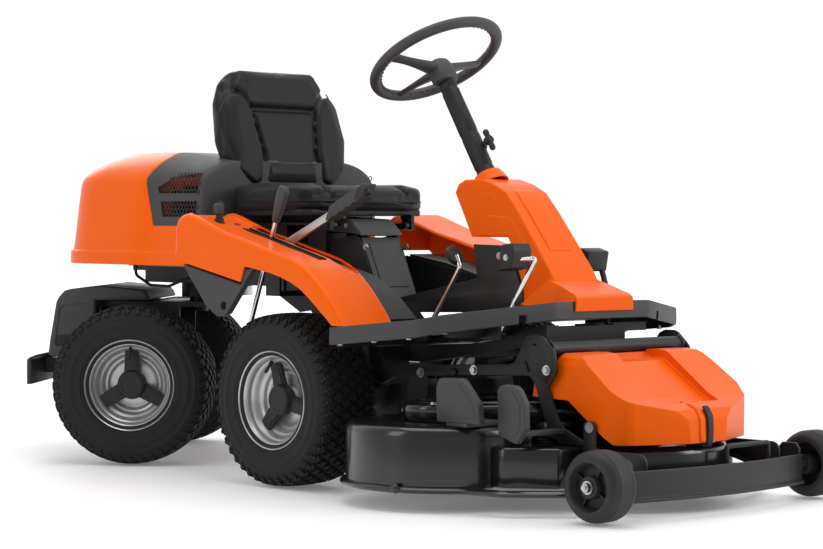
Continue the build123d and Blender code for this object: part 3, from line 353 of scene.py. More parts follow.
def narrowAbove(bm, height, share):
    # pulls the sides in towards the middle, the more the higher above the given height
    for v in bm.verts:
        v.co.x *= 1 - max(0, v.co.z - height) * share


def cutWith(piece, cutters):
    # takes the cutters' volume out of the piece, then drops them
    for cutter in cutters:
        cut = piece.modifiers.new("cut", "BOOLEAN")
        cut.operation = "DIFFERENCE"
        cut.solver = "EXACT"
        cut.object = cutter
        bpy.context.view_layer.objects.active = piece
        bpy.ops.object.modifier_apply(modifier=cut.name)
        bpy.data.objects.remove(cutter)


# camera, floor, light
view = {"lens": 105.46, "azimuth": -44.62, "down": 1.29, "roll": 0.37, "spot": (-4140.7, -4227.0, 626.1)}


def setStage():
    az, down = math.radians(view["azimuth"]), math.radians(view["down"])
    forward = Vector((-math.sin(az) * math.cos(down), math.cos(az) * math.cos(down), -math.sin(down)))
    right = Vector((math.cos(az), math.sin(az), 0))
    up = right.cross(forward)
    roll = math.radians(view["roll"])
    right, up = right * math.cos(roll) + up * math.sin(roll), up * math.cos(roll) - right * math.sin(roll)
    lens = bpy.data.cameras.new("camera")
    lens.lens = view["lens"]
    lens.sensor_width = 36
    camera = bpy.data.objects.new("camera", lens)
    turned = Matrix((right, up, -forward)).transposed().to_4x4()
    camera.matrix_world = Matrix.Translation(at(*view["spot"])) @ turned
    bpy.context.scene.collection.objects.link(camera)
    bpy.context.scene.camera = camera

    bm = bmesh.new()
    bmesh.ops.create_grid(bm, x_segments=2, y_segments=2, size=20)
    mesh = bpy.data.meshes.new("floor")
    bm.to_mesh(mesh)
    bm.free()
    floor = bpy.data.objects.new("floor", mesh)
    bpy.context.scene.collection.objects.link(floor)
    floor.location.z = -0.0015
    paper = bpy.data.materials.new("paleGlowingFloor")
    paper.use_nodes = True
    shader = paper.node_tree.nodes["Principled BSDF"]
    shader.inputs["Base Color"].default_value = (0.93, 0.93, 0.93, 1)
    shader.inputs["Roughness"].default_value = 0.55
    shader.inputs["Emission Color"].default_value = (1, 1, 1, 1)
    # painted light: the floor glows, faintly near the machine and whiter far away
    where = paintNode(paper.node_tree, "ShaderNodeTexCoord")
    reach = paintNode(paper.node_tree, "ShaderNodeVectorMath", operation="LENGTH")
    glow = paintNode(paper.node_tree, "ShaderNodeMapRange")
    for socket, value in (("From Min", 2.0), ("From Max", 9.0), ("To Min", 0.14), ("To Max", 0.62)):
        glow.inputs[socket].default_value = value
    paper.node_tree.links.new(where.outputs["Object"], reach.inputs[0])
    paper.node_tree.links.new(reach.outputs["Value"], glow.inputs["Value"])
    paper.node_tree.links.new(glow.outputs["Result"], shader.inputs["Emission Strength"])
    mesh.materials.append(paper)

    world = bpy.data.worlds.new("studio")
    world.use_nodes = True
    # white beyond the machine as seen from the main view, softer grey elsewhere
    sky = world.node_tree
    where = paintNode(sky, "ShaderNodeTexCoord")
    toward = paintNode(sky, "ShaderNodeVectorMath", operation="DOT_PRODUCT")
    toward.inputs[1].default_value = (0.70, 0.71, 0.0)
    sky.links.new(where.outputs["Generated"], toward.inputs[0])
    band = paintNode(sky, "ShaderNodeMapRange")
    for socket, value in (("From Min", -0.35), ("From Max", 0.75), ("To Min", 0.42), ("To Max", 1.02)):
        band.inputs[socket].default_value = value
    sky.links.new(toward.outputs["Value"], band.inputs["Value"])
    sky.links.new(band.outputs["Result"], sky.nodes["Background"].inputs["Strength"])
    sky.nodes["Background"].inputs["Color"].default_value = (1, 1, 1, 1)
    bpy.context.scene.world = world
    lamps = {
        "overhead": {"spot": (-400, -300, 2900), "size": (2.2, 2.2), "power": 34},
        "frontLeft": {"spot": (1800, -3200, 1900), "size": (1.4, 2.2), "power": 44},
        "rightSide": {"spot": (-3600, 300, 1700), "size": (1.0, 2.4), "power": 20},
        "behind": {"spot": (1400, 3200, 2200), "size": (2.0, 1.6), "power": 24},
    }
    for name, lamp in lamps.items():
        light = bpy.data.lights.new(name, "AREA")
        light.shape = "RECTANGLE"
        light.size, light.size_y = lamp["size"]
        light.energy = lamp["power"]
        holder = bpy.data.objects.new(name, light)
        holder.location = at(*lamp["spot"])
        holder.rotation_euler = (at(0, 0, 450) - holder.location).to_track_quat("-Z", "Y").to_euler()
        bpy.context.scene.collection.objects.link(holder)


bpy.context.scene.view_settings.view_transform = "Standard"
setStage()
print("stage ready")


# road wheels: built about the origin with the axle along x and the outer face towards +x
tyre = {"radius": 203.5, "lug": 6.5, "rows": (-66, -44, -22, 0, 22, 44, 66), "around": 44, "lugArm": 10.5,
        "lugWidth": 4.2}


def buildTyre():
    bm = bmesh.new()
    r = tyre["radius"] - tyre["lug"]
    half = [(102.3, 60), (103.5, 69), (106, 73), (112, 75.5), (116, 74), (119, 75.5), (122, 78.5),
            (126, 80.2), (127, 81.2), (129, 81.4), (130, 80.8), (140, 82.9), (150, 84.0), (151, 84.8),
            (153, 84.9), (154, 84.2), (164, 83.8), (168, 83.3), (169, 84), (171, 83.9), (172, 83),
            (178, 81.6), (184, 78.5), (189, 74.5), (192.5, 68), (194.6, 56), (196.2, 36), (r, 14)]
    inside = [(190, 10), (188, 52), (178, 66), (150, 72), (120, 66), (110, 60)]
    ring = half + [(x, -a) for x, a in reversed(half)] + [(x, -a) for x, a in reversed(inside)] + inside
    lathe(bm, ring + [ring[0]], Vector(), Vector((1, 0, 0)), steps=96)
    bmesh.ops.remove_doubles(bm, verts=bm.verts, dist=1e-6)

    def crownAt(x):
        # radius of the bare tread under a lug, and its lean
        for (r0, a0), (r1, a1) in zip(half[::-1], half[-2::-1]):
            if a0 <= abs(x) <= a1:
                t = (abs(x) - a0) / (a1 - a0)
                return r0 + (r1 - r0) * t, math.atan2(r0 - r1, a1 - a0) * math.copysign(1, x)
        return r, 0.0
    arm, wide = tyre["lugArm"] / 1000, tyre["lugWidth"] / 1000
    quarter = [(wide, arm), (wide, wide), (arm, wide)]
    cross = []
    for turn in range(4):
        c, s = round(math.cos(turn * math.pi / 2)), round(math.sin(turn * math.pi / 2))
        cross += [(x * c + y * s, y * c - x * s) for x, y in quarter]

    def addLug(x, angle, scale=1.0, twist=0.0, height=tyre["lug"]):
        radius, lean = crownAt(x)
        face = bm.faces.new([bm.verts.new((u * scale, v * scale, 0)) for u, v in cross])
        grown = bmesh.ops.extrude_face_region(bm, geom=[face])["geom"]
        top = [g for g in grown if isinstance(g, bmesh.types.BMVert)]
        bmesh.ops.scale(bm, vec=(0.82, 0.82, 1), verts=top)
        bmesh.ops.translate(bm, verts=top, vec=(0, 0, (height + 2) / 1000))
        spot = (Matrix.Rotation(angle, 4, "X") @ Matrix.Translation((x / 1000, 0, (radius - 2) / 1000))
                @ Matrix.Rotation(lean, 4, "Y") @ Matrix.Rotation(twist, 4, "Z"))
        bmesh.ops.transform(bm, matrix=spot, verts=list({v for v in list(face.verts) + top}))
    for row, x in enumerate(tyre["rows"]):
        for n in range(tyre["around"]):
            angle = math.tau * (n + 0.5 * (row % 2)) / tyre["around"]
            addLug(x, angle, 1.12, math.radians(14 if row % 2 else -14))
    for side in (-1, 1):
        for n in range(tyre["around"]):
            addLug(side * 76.5, math.tau * n / tyre["around"], 0.78, 0.3, 3.4)
    bmesh.ops.recalc_face_normals(bm, faces=bm.faces)
    return bm


def buildRim():
    bm = bmesh.new()
    face = [(13, 24), (31, 24), (33, 15), (44, 13), (58, 13), (64, 16), (67, 20), (72, 21), (75, 24),
            (77, 30), (80, 33), (84, 34), (87, 38), (90, 47), (93, 51), (96, 53), (98, 60), (100, 66),
            (104, 70), (108, 71), (111, 73), (113, 76), (115, 77.5), (116.5, 76), (116.2, 73.5), (113.5, 72),
            (110, 70), (101.9, 67), (101.7, 54), (99, 46), (91, 40), (88, 30), (88, -34), (101.7, -50),
            (101.9, -67), (113.5, -72), (116, -75), (114, -77.5), (110, -74), (98, -66), (97, -48), (84, -36),
            (83, -2), (76, 6), (34, 7), (31, -40), (13, -40)]
    lathe(bm, face + [face[0]], Vector(), Vector((1, 0, 0)), steps=96)
    bmesh.ops.remove_doubles(bm, verts=bm.verts, dist=1e-6)
    bmesh.ops.recalc_face_normals(bm, faces=bm.faces)
    return bm


def buildCap():
    # three-armed cap with a round centre and raised arm ridges
    bm = bmesh.new()
    arms = []
    for n in range(3):
        base = math.tau * n / 3
        for radius, turn in ((31, -0.62), (84, -0.175), (88, 0.0), (84, 0.175), (31, 0.62)):
            a = base + turn
            arms.append((radius * math.sin(a), radius * math.cos(a)))
    plate = [(0, u / 1000, v / 1000) for u, v in arms]
    face = bm.faces.new([bm.verts.new(p) for p in plate])
    grown = bmesh.ops.extrude_face_region(bm, geom=[face])["geom"]
    top = [g for g in grown if isinstance(g, bmesh.types.BMVert)]
    bmesh.ops.translate(bm, verts=top, vec=(0.009, 0, 0))
    bmesh.ops.scale(bm, vec=(1, 0.93, 0.93), verts=top)
    bmesh.ops.translate(bm, verts=bm.verts, vec=(0.030, 0, 0))
    for n in range(3):
        ridge = bmesh.ops.create_cone(bm, cap_ends=True, segments=4, radius1=0.020, radius2=0.011,
                                      depth=0.052, matrix=Matrix.Rotation(-math.tau * n / 3, 4, "X")
                                      @ Matrix.Translation((0.037, 0, 0.050))
                                      @ Matrix.Rotation(math.pi / 4, 4, "Z"))
        flat = (Matrix.Translation((0.037, 0, 0)) @ Matrix.Scale(0.36, 4, (1, 0, 0))
                @ Matrix.Translation((-0.037, 0, 0)))
        bmesh.ops.transform(bm, matrix=flat, verts=ridge["verts"])
    boss = [(0, 21), (20, 21), (22, 22.5), (24, 22.5), (25, 21.5), (27, 21.5), (29, 20), (31.5, 12), (33, 4)]
    lathe(bm, [(r, a + 30) for r, a in boss], Vector(), Vector((1, 0, 0)), steps=48)
    bmesh.ops.recalc_face_normals(bm, faces=bm.faces)
    return bm


def buildValve():
    bm = bmesh.new()
    stem = [(0, 0), (4.6, 0), (4.6, 8), (3.2, 11), (3.2, 22), (4.2, 23), (4.2, 33), (3.4, 35), (0, 35)]
    lathe(bm, stem, Vector((0.050, 0.0, 0.092)), Vector((0.72, 0, -0.69)), steps=20)
    return bm


def placeWheels():
    tyreShape, rimShape, capShape, valveShape = buildTyre(), buildRim(), buildCap(), buildValve()
    bmesh.ops.scale(capShape, vec=(1.08, 1.16, 1.16), verts=capShape.verts)
    spins = {"front_right": 0.3, "front_left": 1.2, "rear_right": 0.02, "rear_left": 2.2}
    for corner, turn in spins.items():
        axis = Vector(joints["spin_" + corner]["axis"])
        outward = axis * (-1 if corner.endswith("right") else 1)
        centre = middleOf("tyre_" + corner)
        centre.z = tyre["radius"] / 1000
        face = Vector((1, 0, 0)).rotation_difference(outward).to_matrix().to_4x4()
        if outward.x < -0.999:
            face = Matrix.Rotation(math.pi, 4, "Z")
        spot = Matrix.Translation(centre) @ face @ Matrix.Rotation(turn, 4, "X")
        body = "wheel_" + corner
        side = corner.replace("_", " ").title().replace(" ", "")
        for label, shape, finish, slot, stands in (
                ("tyre", tyreShape, "tyreRubber", "tyre_rubber", ["tyre_" + corner]),
                ("rim", rimShape, "rimPaint", "wheel_silver", ["rim_" + corner]),
                ("wheelCap", capShape, "blackMoulding", "black_plastic", []),
                ("valve", valveShape, "blackMoulding", "solid_rubber", [])):
            bm = shape.copy()
            bmesh.ops.transform(bm, matrix=spot, verts=bm.verts)
            addPiece(label + side, bm, finish, body, stands, round=1.2 if label == "wheelCap" else 0,
                     crease=40 if label != "tyre" else 55, outward=False)
    for shape in (tyreShape, rimShape, capShape, valveShape):
        shape.free()


placeWheels()
print("road wheels done")


# the two small wheels that carry the deck
def placeDeckWheels():
    for side, sign in (("right", -1), ("left", 1)):
        centre = middleOf("deck_wheel_" + side)
        out = Vector((sign, 0, 0))
        bm = bmesh.new()
        profile = [(12, 37), (22, 37), (24, 34), (24, 16), (44, 14), (47, 17), (49.5, 36), (52, 39.5),
                   (57, 40), (64, 38), (70, 33), (73.5, 27), (74.8, 22), (75.0, 21), (74.4, 20.4),
                   (74.5, 19.4), (75.4, 19), (75.6, 0), (75.4, -19), (74.5, -19.4), (74.4, -20.4),
                   (75.0, -21), (73.5, -27), (70, -33), (64, -38), (57, -40), (50, -38), (47, -20), (44, 8),
                   (24, 8), (22, -37), (12, -37)]
        lathe(bm, profile + [profile[0]], centre, out, steps=72)
        for n in range(4):
            turn = Matrix.Translation(centre) @ Matrix.Rotation(math.tau * (n + 0.35) / 4, 4, "X")
            bmesh.ops.create_cube(bm, size=1, matrix=turn @ Matrix.Translation((sign * 0.0195, 0, 0.0345))
                                  @ Matrix.Diagonal((0.014, 0.0025, 0.025, 1)))
        addPiece("deckWheel" + side.title(), bm, "wheelRubber", "deck_wheel_body_" + side,
                 ["deck_wheel_" + side], crease=38)
        bm = bmesh.new()
        bolt(bm, centre + out * 0.0395, out, 10, 7)
        bmesh.ops.create_cone(bm, cap_ends=True, segments=20, radius1=0.0055, radius2=0.005, depth=0.012,
                              matrix=Matrix.Translation(centre + out * 0.0475)
                              @ Matrix.Rotation(math.pi / 2, 4, "Y"))
        addPiece("deckWheelBolt" + side.title(), bm, "zincPlate", "deck", crease=25)


placeDeckWheels()
print("deck wheels done")


# padded seat: panels in one stuffed cover, puffed by a short cloth run
seat = {"grid": 5.0, "puff": 3.0, "furthest": 8, "fill": 0.8, "steps": 20}


def padding(name, parts, stands, base):
    piece = addPiece(name, joined(*parts), "seatVinyl", "seat", stands, crease=60)
    bpy.context.view_layer.objects.active = piece
    cells = piece.modifiers.new("cells", "REMESH")
    cells.mode = "VOXEL"
    cells.voxel_size = seat["grid"] / 1000
    cells.use_smooth_shade = True
    bpy.ops.object.modifier_apply(modifier=cells.name)
    ease = piece.modifiers.new("ease", "SMOOTH")
    ease.iterations = 3
    ease.factor = 0.5
    bpy.ops.object.modifier_apply(modifier=ease.name)
    rest = [v.co.copy() for v in piece.data.vertices]
    held = piece.vertex_groups.new(name="held")
    held.add([v.index for v in piece.data.vertices if base(v.co)], 1.0, "REPLACE")
    cloth = piece.modifiers.new("cloth", "CLOTH")
    settings = cloth.settings
    settings.quality = 5
    settings.mass = 0.3
    settings.tension_stiffness = 30
    settings.compression_stiffness = 30
    settings.bending_stiffness = 2
    settings.use_pressure = True
    settings.uniform_pressure_force = seat["puff"]
    settings.vertex_group_mass = held.name
    settings.effector_weights.gravity = 0
    cloth.collision_settings.use_collision = False
    cloth.point_cache.frame_start, cloth.point_cache.frame_end = 1, seat["steps"]
    for moment in range(1, seat["steps"] + 1):
        bpy.context.scene.frame_set(moment)
    bpy.ops.object.modifier_apply(modifier=cloth.name)
    for v, start in zip(piece.data.vertices, rest):
        moved = v.co - start
        if moved.length > seat["furthest"] / 1000:
            v.co = start + moved.normalized() * (seat["furthest"] / 1000)
    bpy.context.scene.frame_set(1)
    for face in piece.data.polygons:
        face.use_smooth = True
    fine = piece.modifiers.new("fine", "SUBSURF")
    fine.levels = fine.render_levels = 1
    return piece


backLean = math.atan2(52, 205)
backFoot = Vector((0, 422, 796))


def onBack(across, up, out):
    # a station on the backrest: up along its front face, out towards the driver
    c, s = math.cos(backLean), math.sin(backLean)
    return at(across, backFoot.y + up * s - out * c, backFoot.z + up * c + out * s)


def addSeat():
    base = [(x, y) for x, y in ((150, 114), (200, 136), (228, 200), (228, 372), (198, 398))]
    base += [(-x, y) for x, y in reversed(base)]
    parts = [panel(base, "z", 649, 688, 12, 4)]
    for side in (-1, 1):
        wing = [(side * x, y) for x, y in ((142, 118), (176, 126), (206, 142), (231, 204), (231, 372),
                                           (196, 398), (150, 396), (134, 300), (134, 190))]
        if side < 0:
            wing.reverse()
        parts.append(panel(wing, "z", 660, 708, 15, 5))
    centre = [(122, 196), (122, 392), (-122, 392), (-122, 196)]
    parts.append(panel(centre, "z", 670, 703, 9, 4))
    nose = [(129, 112), (124, 184), (-124, 184), (-129, 112)]
    parts.append(panel(nose, "z", 655, 703, 14, 5))
    padding("seatCushion", parts, ["seat_cushion"], lambda c: c.z < 0.664)
    # backrest: carcass, side wings, head panel and the ribbed middle insert
    face = [(138, -88), (188, -46), (206, 36), (194, 138), (168, 192), (130, 222)]
    face += [(-x, z) for x, z in reversed(face)]
    parts = [panel(face, "z", -52, -14, 12, 4, place=onBack)]
    for side in (-1, 1):
        wing = [(side * x, z) for x, z in ((104, -84), (136, -86), (187, -46), (205, 36), (194, 130),
                                           (170, 162), (136, 150), (112, 110), (96, 0))]
        if side < 0:
            wing.reverse()
        parts.append(panel(wing, "z", -30, 8, 13, 5, place=onBack))
    insert = [(92, -86), (84, 0), (102, 108), (-102, 108), (-84, 0), (-92, -86)]
    parts.append(panel(insert, "z", -30, 1, 8, 4, place=onBack))
    head = [(116, 122), (130, 158), (158, 172), (128, 219), (-128, 219), (-158, 172), (-130, 158),
            (-116, 122)]
    parts.append(panel(head, "z", -40, 5, 12, 4, place=onBack))
    upward = (onBack(0, 0, 1) - onBack(0, 0, 0)).normalized()
    padding("seatBack", parts, ["seat_backrest"], lambda c: (c - onBack(0, 0, -40)).dot(upward) < 0)
    # tray under the cushion and the shell behind the back
    tray = [(-186, 128), (186, 128), (208, 150), (208, 392), (190, 410), (-190, 410), (-208, 392),
            (-208, 150)]
    shell = [(118, -96), (160, -50), (176, 36), (166, 130), (146, 176), (112, 200)]
    shell += [(-x, z) for x, z in reversed(shell)]
    heel = [(404, 636), (440, 660), (480, 730), (470, 734), (430, 668), (398, 648)]
    pan = joined(panel(tray, "z", 636, 652, 4, 2), panel(shell, "z", -66, -44, 8, 3, place=onBack),
                 panel(heel, "x", -118, 118, 3, 2))
    for side in (-1, 1):
        slab(pan, [(106, 602), (106, 640), (150, 640), (130, 604), (124, 600)], "x", side * 134, side * 144)
    seatPan = addPiece("seatTray", pan, "blackMoulding", "seat", ["seat_pan"], crease=35)
    holes = bmesh.new()
    crossPin(holes, at(0, 118, 612), 6.05, 400)
    cutWith(seatPan, [tempObject(holes)])
    # stitched slots in the insert
    bm = bmesh.new()
    for up in (-40, 6, 52):
        slab(bm, [(-46, up), (46, up), (46, up + 6), (-46, up + 6)], "z", 0, 4.2, onBack)
    addPiece("seatSlots", bm, "blackMoulding", "seat", round=2)
    # piping round the cushion and the wings
    rim = [(150, 112), (203, 136), (231, 202), (231, 374), (199, 400)]
    rim = [at(x, y, 672) for x, y in rim]
    whole = [Vector((-p.x, p.y, p.z)) for p in reversed(rim)]
    addRod("cushionPiping", whole + rim, 2.2, "seatVinyl", "seat")
    edge = [onBack(x, up, 6) for x, up in ((126, -78), (176, -44), (190, 34), (180, 128), (160, 162))]
    for side in (-1, 1):
        addRod("wingPiping" + ("Right" if side < 0 else "Left"),
               [Vector((p.x * side, p.y, p.z)) for p in edge], 1.8, "seatVinyl", "seat")


addSeat()
print("seat done")


# helpers for moulded covers
def subdivided(bm, levels):
    # the same shape with its subdivision surface made real
    holder = tempObject(bm)
    soft = holder.modifiers.new("soft", "SUBSURF")
    soft.levels = soft.render_levels = levels
    seen = holder.evaluated_get(bpy.context.evaluated_depsgraph_get())
    made = bmesh.new()
    made.from_mesh(seen.to_mesh())
    seen.to_mesh_clear()
    bpy.data.objects.remove(holder)
    return made


def easeEdges(piece, width, segments=2, angle=32):
    ease = piece.modifiers.new("ease", "BEVEL")
    ease.width = width / 1000
    ease.segments = segments
    ease.limit_method = "ANGLE"
    ease.angle_limit = math.radians(angle)
    ease.use_clamp_overlap = True
    shade = piece.modifiers.new("flats", "WEIGHTED_NORMAL")
    shade.keep_sharp = True


def splitAlong(bm, planes):
    for (y, z), (ny, nz) in planes:
        bmesh.ops.bisect_plane(bm, geom=bm.verts[:] + bm.edges[:] + bm.faces[:], dist=1e-6,
                               plane_co=at(0, y, z), plane_no=Vector((0, ny, nz)).normalized())


def dropFaces(bm, test):
    gone = [f for f in bm.faces if test(f.calc_center_median())]
    bmesh.ops.delete(bm, geom=gone, context="FACES")


# engine hood and its grey grille surround
hood = {
    "front": 408,
    "halfWidth": 334,
    "length": 608,
    "wall": 3.5,
    "windows": ([(581, 705), (520, 731), (427, 741), (427, 690), (574, 690)],
                [(567, 670), (427, 670), (427, 631), (553, 631)]),
    "cell": 7.2,
    "plan": [(0, 1016), (60, 1015), (120, 1012), (190, 1006), (245, 992), (288, 966), (316, 930), (330, 885),
             (334, 830), (334, 740), (334, 650), (326, 612), (324, 560), (324, 480), (324, 414), (300, 408),
             (200, 408), (100, 408), (0, 408)],
    # inward at the sides, inward at the back, height, and how far the ring follows the crowned top
    "levels": [(0, 0, 508, 0), (0, 0, 512, 0), (0, 0, 536, 0), (1, 1, 541, 0), (6, 5, 543, 0), (8, 6, 549, 0),
               (17, 12, 634, 0), (24, 17, 708, 0), (28, 20, 724, 0), (38, 27, 735, 0.08), (62, 46, 745, 0.35),
               (98, 78, 755, 0.70), (120, 98, 762, 0.86), (127, 106, 768, 0.92), (134, 112, 776, 0.99),
               (200, 190, 780, 1.0), (270, 300, 781, 1.0)],
}


def hoodTop(y):
    return 803 - ((y - 690) / 280) ** 2 * 27


def buildHood():
    bm = bmesh.new()
    rings = []
    for dx, dy, z, share in hood["levels"]:
        half = []
        for x, y in hood["plan"]:
            nx = x * (1 - dx / hood["halfWidth"])
            ny = hood["front"] + (y - hood["front"]) * (1 - dy / hood["length"])
            nz = z if share == 0 else z + (hoodTop(ny) - 3 - z) * share
            half.append((nx, ny, nz))
        rings.append(half + [(-x, y, z) for x, y, z in reversed(half[1:-1])])
    loft(bm, rings, capped=False)
    bmesh.ops.remove_doubles(bm, verts=bm.verts, dist=1e-5)
    top = [e for e in bm.edges if e.is_boundary and e.verts[0].co.z > 0.7]
    bmesh.ops.holes_fill(bm, edges=top, sides=0)
    return subdivided(bm, 2)


def within(outline, y, z):
    inside = False
    for (y0, z0), (y1, z1) in zip(outline, outline[1:] + outline[:1]):
        if (z0 > z) != (z1 > z) and y < (y1 - y0) * (z - z0) / (z1 - z0) + y0:
            inside = not inside
    return inside


def grown(outline, share):
    cy, cz = (sum(p[i] for p in outline) / len(outline) for i in (0, 1))
    return [(cy + (y - cy) * share, cz + (z - cz) * (1 + (share - 1) * 2)) for y, z in outline]


def addHood():
    shape = buildHood()
    splitAlong(shape, [((0, 608), (0, 1)), ((608, 668), (-121, 41)), ((613, 780), (101, 30))])
    y0 = at(0, 0, 0).y

    def inGrille(c, gap=0.0):
        y, z = (c.y - y0) * 1000, c.z * 1000
        lineA = 587 + (z - 608) * 41 / 121
        lineC = 628 - (z - 729) * 30 / 101
        return z > 608 + gap and y < min(lineA, lineC) - gap
    orange = shape.copy()
    dropFaces(orange, inGrille)
    dropFaces(shape, lambda c: not inGrille(c))
    addPiece("hoodShell", orange, "orangeShell", "hood_body", ["hood"], crease=38,
             thick=hood["wall"])
    bmesh.ops.translate(shape, verts=shape.verts, vec=(0, -0.002, 0))
    grille = addPiece("grilleSurround", shape, "greyMoulding", "hood_body", ["hood_grille"],
                      crease=38, thick=4)
    grille.modifiers["wall"].use_even_offset = False
    bpy.context.view_layer.objects.active = grille
    bpy.ops.object.modifier_apply(modifier="wall")
    cutWith(grille, [prism(window, "x", side * 250, side * 360) for window in hood["windows"]
                     for side in (-1, 1)])
    easeEdges(grille, 1.2, 2, 40)
    # honeycomb screens a little inside the windows
    bm = bmesh.new()
    size, cells = hood["cell"], []
    for window in hood["windows"]:
        low, high = min(p[1] for p in window) - 8, max(p[1] for p in window) + 8
        front, back = 420, max(p[0] for p in window) + 8
        row, z = 0, low
        while z < high:
            y = front + (row % 2) * size * 0.866
            while y < back:
                if within(grown(window, 1.08), y, z):
                    cells.append((y, z))
                y += size * 1.732
            z += size * 1.5
            row += 1
    for side in (-1, 1):
        for y, z in cells:
            lean = (z - 543) * 0.108
            bmesh.ops.create_circle(bm, cap_ends=True, segments=6, radius=size / 1000,
                                    matrix=Matrix.Translation(at(side * (316 - lean), y, z))
                                    @ Matrix.Rotation(math.pi / 2, 4, "Y")
                                    @ Matrix.Rotation(math.pi / 2, 4, "Z"))
    bmesh.ops.remove_doubles(bm, verts=bm.verts, dist=4e-4)
    holes = bmesh.ops.inset_individual(bm, faces=bm.faces[:], thickness=0.0016, use_even_offset=True)["faces"]
    keep = set(holes)
    bmesh.ops.delete(bm, geom=[f for f in bm.faces if f not in keep], context="FACES")
    addPiece("grilleScreens", bm, "blackMoulding", "hood_body", thick=1.5)
    # pull handle at the top of the back
    bm = bmesh.new()
    grip = [(-150, 968), (-138, 1000), (-96, 1011), (96, 1011), (138, 1000), (150, 968), (120, 960),
            (-120, 960)]
    slab(bm, grip, "z", 742, 762)
    addPiece("hoodHandle", bm, "greyMoulding", "hood_body", round=6, segments=3)


addHood()
print("hood done")

# fenders
fender = {
    "inner": 276,
    "outer": 440,
    "rims": ((440, 17), (276, 9)),        # x of the edge and how far it is rounded
    "top": [(349, 552), (347, 606), (338, 626), (322, 636), (300, 640), (270, 632), (245, 623), (205, 610),
            (163, 596), (90, 579), (20, 560), (-40, 546), (-80, 535), (-110, 523), (-135, 509), (-158, 492),
            (-182, 471), (-206, 446), (-232, 416), (-256, 386)],
    "foot": [(-220, 386), (-206, 398), (-186, 413), (-164, 430), (-140, 448), (-113, 466), (-80, 481),
             (-43, 493), (-4, 502), (34, 508), (84, 515), (98, 478), (318, 523)],
    "inside": [(344, 380), (342, 604), (332, 622), (300, 634), (246, 617), (164, 590), (20, 554), (-78, 529),
               (-106, 518), (-132, 503), (-154, 487), (-178, 466), (-202, 441), (-226, 413), (-250, 380)],
}


def buildFender():
    bm = bmesh.new()
    slab(bm, fender["top"] + fender["foot"], "x", fender["inner"], fender["outer"])
    bmesh.ops.recalc_face_normals(bm, faces=bm.faces)
    y0 = at(0, 0, 0).y
    crown = {(round(y, 1), round(z, 1)) for y, z in fender["top"]}

    def onCrown(v):
        return (round((v.co.y - y0) * 1000, 1), round(v.co.z * 1000, 1)) in crown
    for x, width in fender["rims"]:
        rim = [e for e in bm.edges if all(onCrown(v) and abs(v.co.x * 1000 - x) < 0.5 for v in e.verts)]
        bmesh.ops.bevel(bm, geom=rim, offset=width / 1000, offset_type="OFFSET", affect="EDGES", segments=5,
                        profile=0.5, clamp_overlap=True, material=-1)
    return bm


def addFenders():
    for side, sign in (("Right", -1), ("Left", 1)):
        bm = buildFender()
        if sign < 0:
            flipAcross(bm)
        shell = addPiece("fender" + side, bm, "orangeShell", "chassis",
                          ["fender_" + side.lower()], crease=24, outward=False)
        cutWith(shell, [prism(fender["inside"], "x", sign * 262, sign * 435)])
        if sign < 0:
            panel = [(206, 700), (206, 606), (246, 619), (300, 636), (326, 631), (326, 700)]
            cutWith(shell, [prism(panel, "x", -296, -422, round=5),
                            prism([(-86, -356), (-86, -334), (186, -334), (186, -356)], "z", 460, 700,
                                  place=lambda u, v, w: at(v, u, w), round=6),
                            prism([(-136, -318), (-150, -308), (-150, -292), (-136, -282), (205, -282),
                                   (205, -318)], "z", 460, 700, place=lambda u, v, w: at(v, u, w), round=5)])
        easeEdges(shell, 1.6, 2, 40)
        # dark side panel below the fender, and the liner over the tyre
        bm = bmesh.new()
        trim = [(317, 517), (100, 472), (85, 508), (58, 511), (152, 402), (170, 394), (190, 394), (232, 420),
                (286, 480), (306, 502)]
        slab(bm, trim, "x", sign * 416, sign * 435)
        panel = addPiece("sidePanel" + side, bm, "greyMoulding", "chassis",
                         ["fender_trims"] if sign > 0 else [])
        bm = bmesh.new()
        crossPin(bm, at(sign * 430, 165, 420), 10, 100)
        cutWith(panel, [tempObject(bm)])
        easeEdges(panel, 2.4, 3)
        bm = bmesh.new()
        arch = [(-225, 396), (-160, 452), (-90, 492), (20, 520), (150, 540)]
        slab(bm, arch + [(150, 536), (21, 516), (-88, 488), (-156, 448), (-219, 392)], "x", sign * 174,
             sign * 275)
        slab(bm, arch + [(150, 470), (90, 420), (-60, 420), (-217, 388)], "x", sign * 172, sign * 175)
        addPiece("liner" + side, bm, "blackMoulding", "chassis", round=1.0)
        bm = bmesh.new()
        slab(bm, [(156, 536), (-60, 496), (-60, 452), (40, 430), (140, 404), (186, 398), (330, 470),
                  (318, 520)], "x", sign * 168, sign * 171)
        for y in (0, 60, 120, 180, 240):
            slab(bm, [(y, 440), (y + 8, 440), (y + 8, 500), (y, 500)], "x", sign * 170, sign * 176)
        addPiece("innerGuard" + side, bm, "blackMoulding", "chassis", round=0.8)


addFenders()


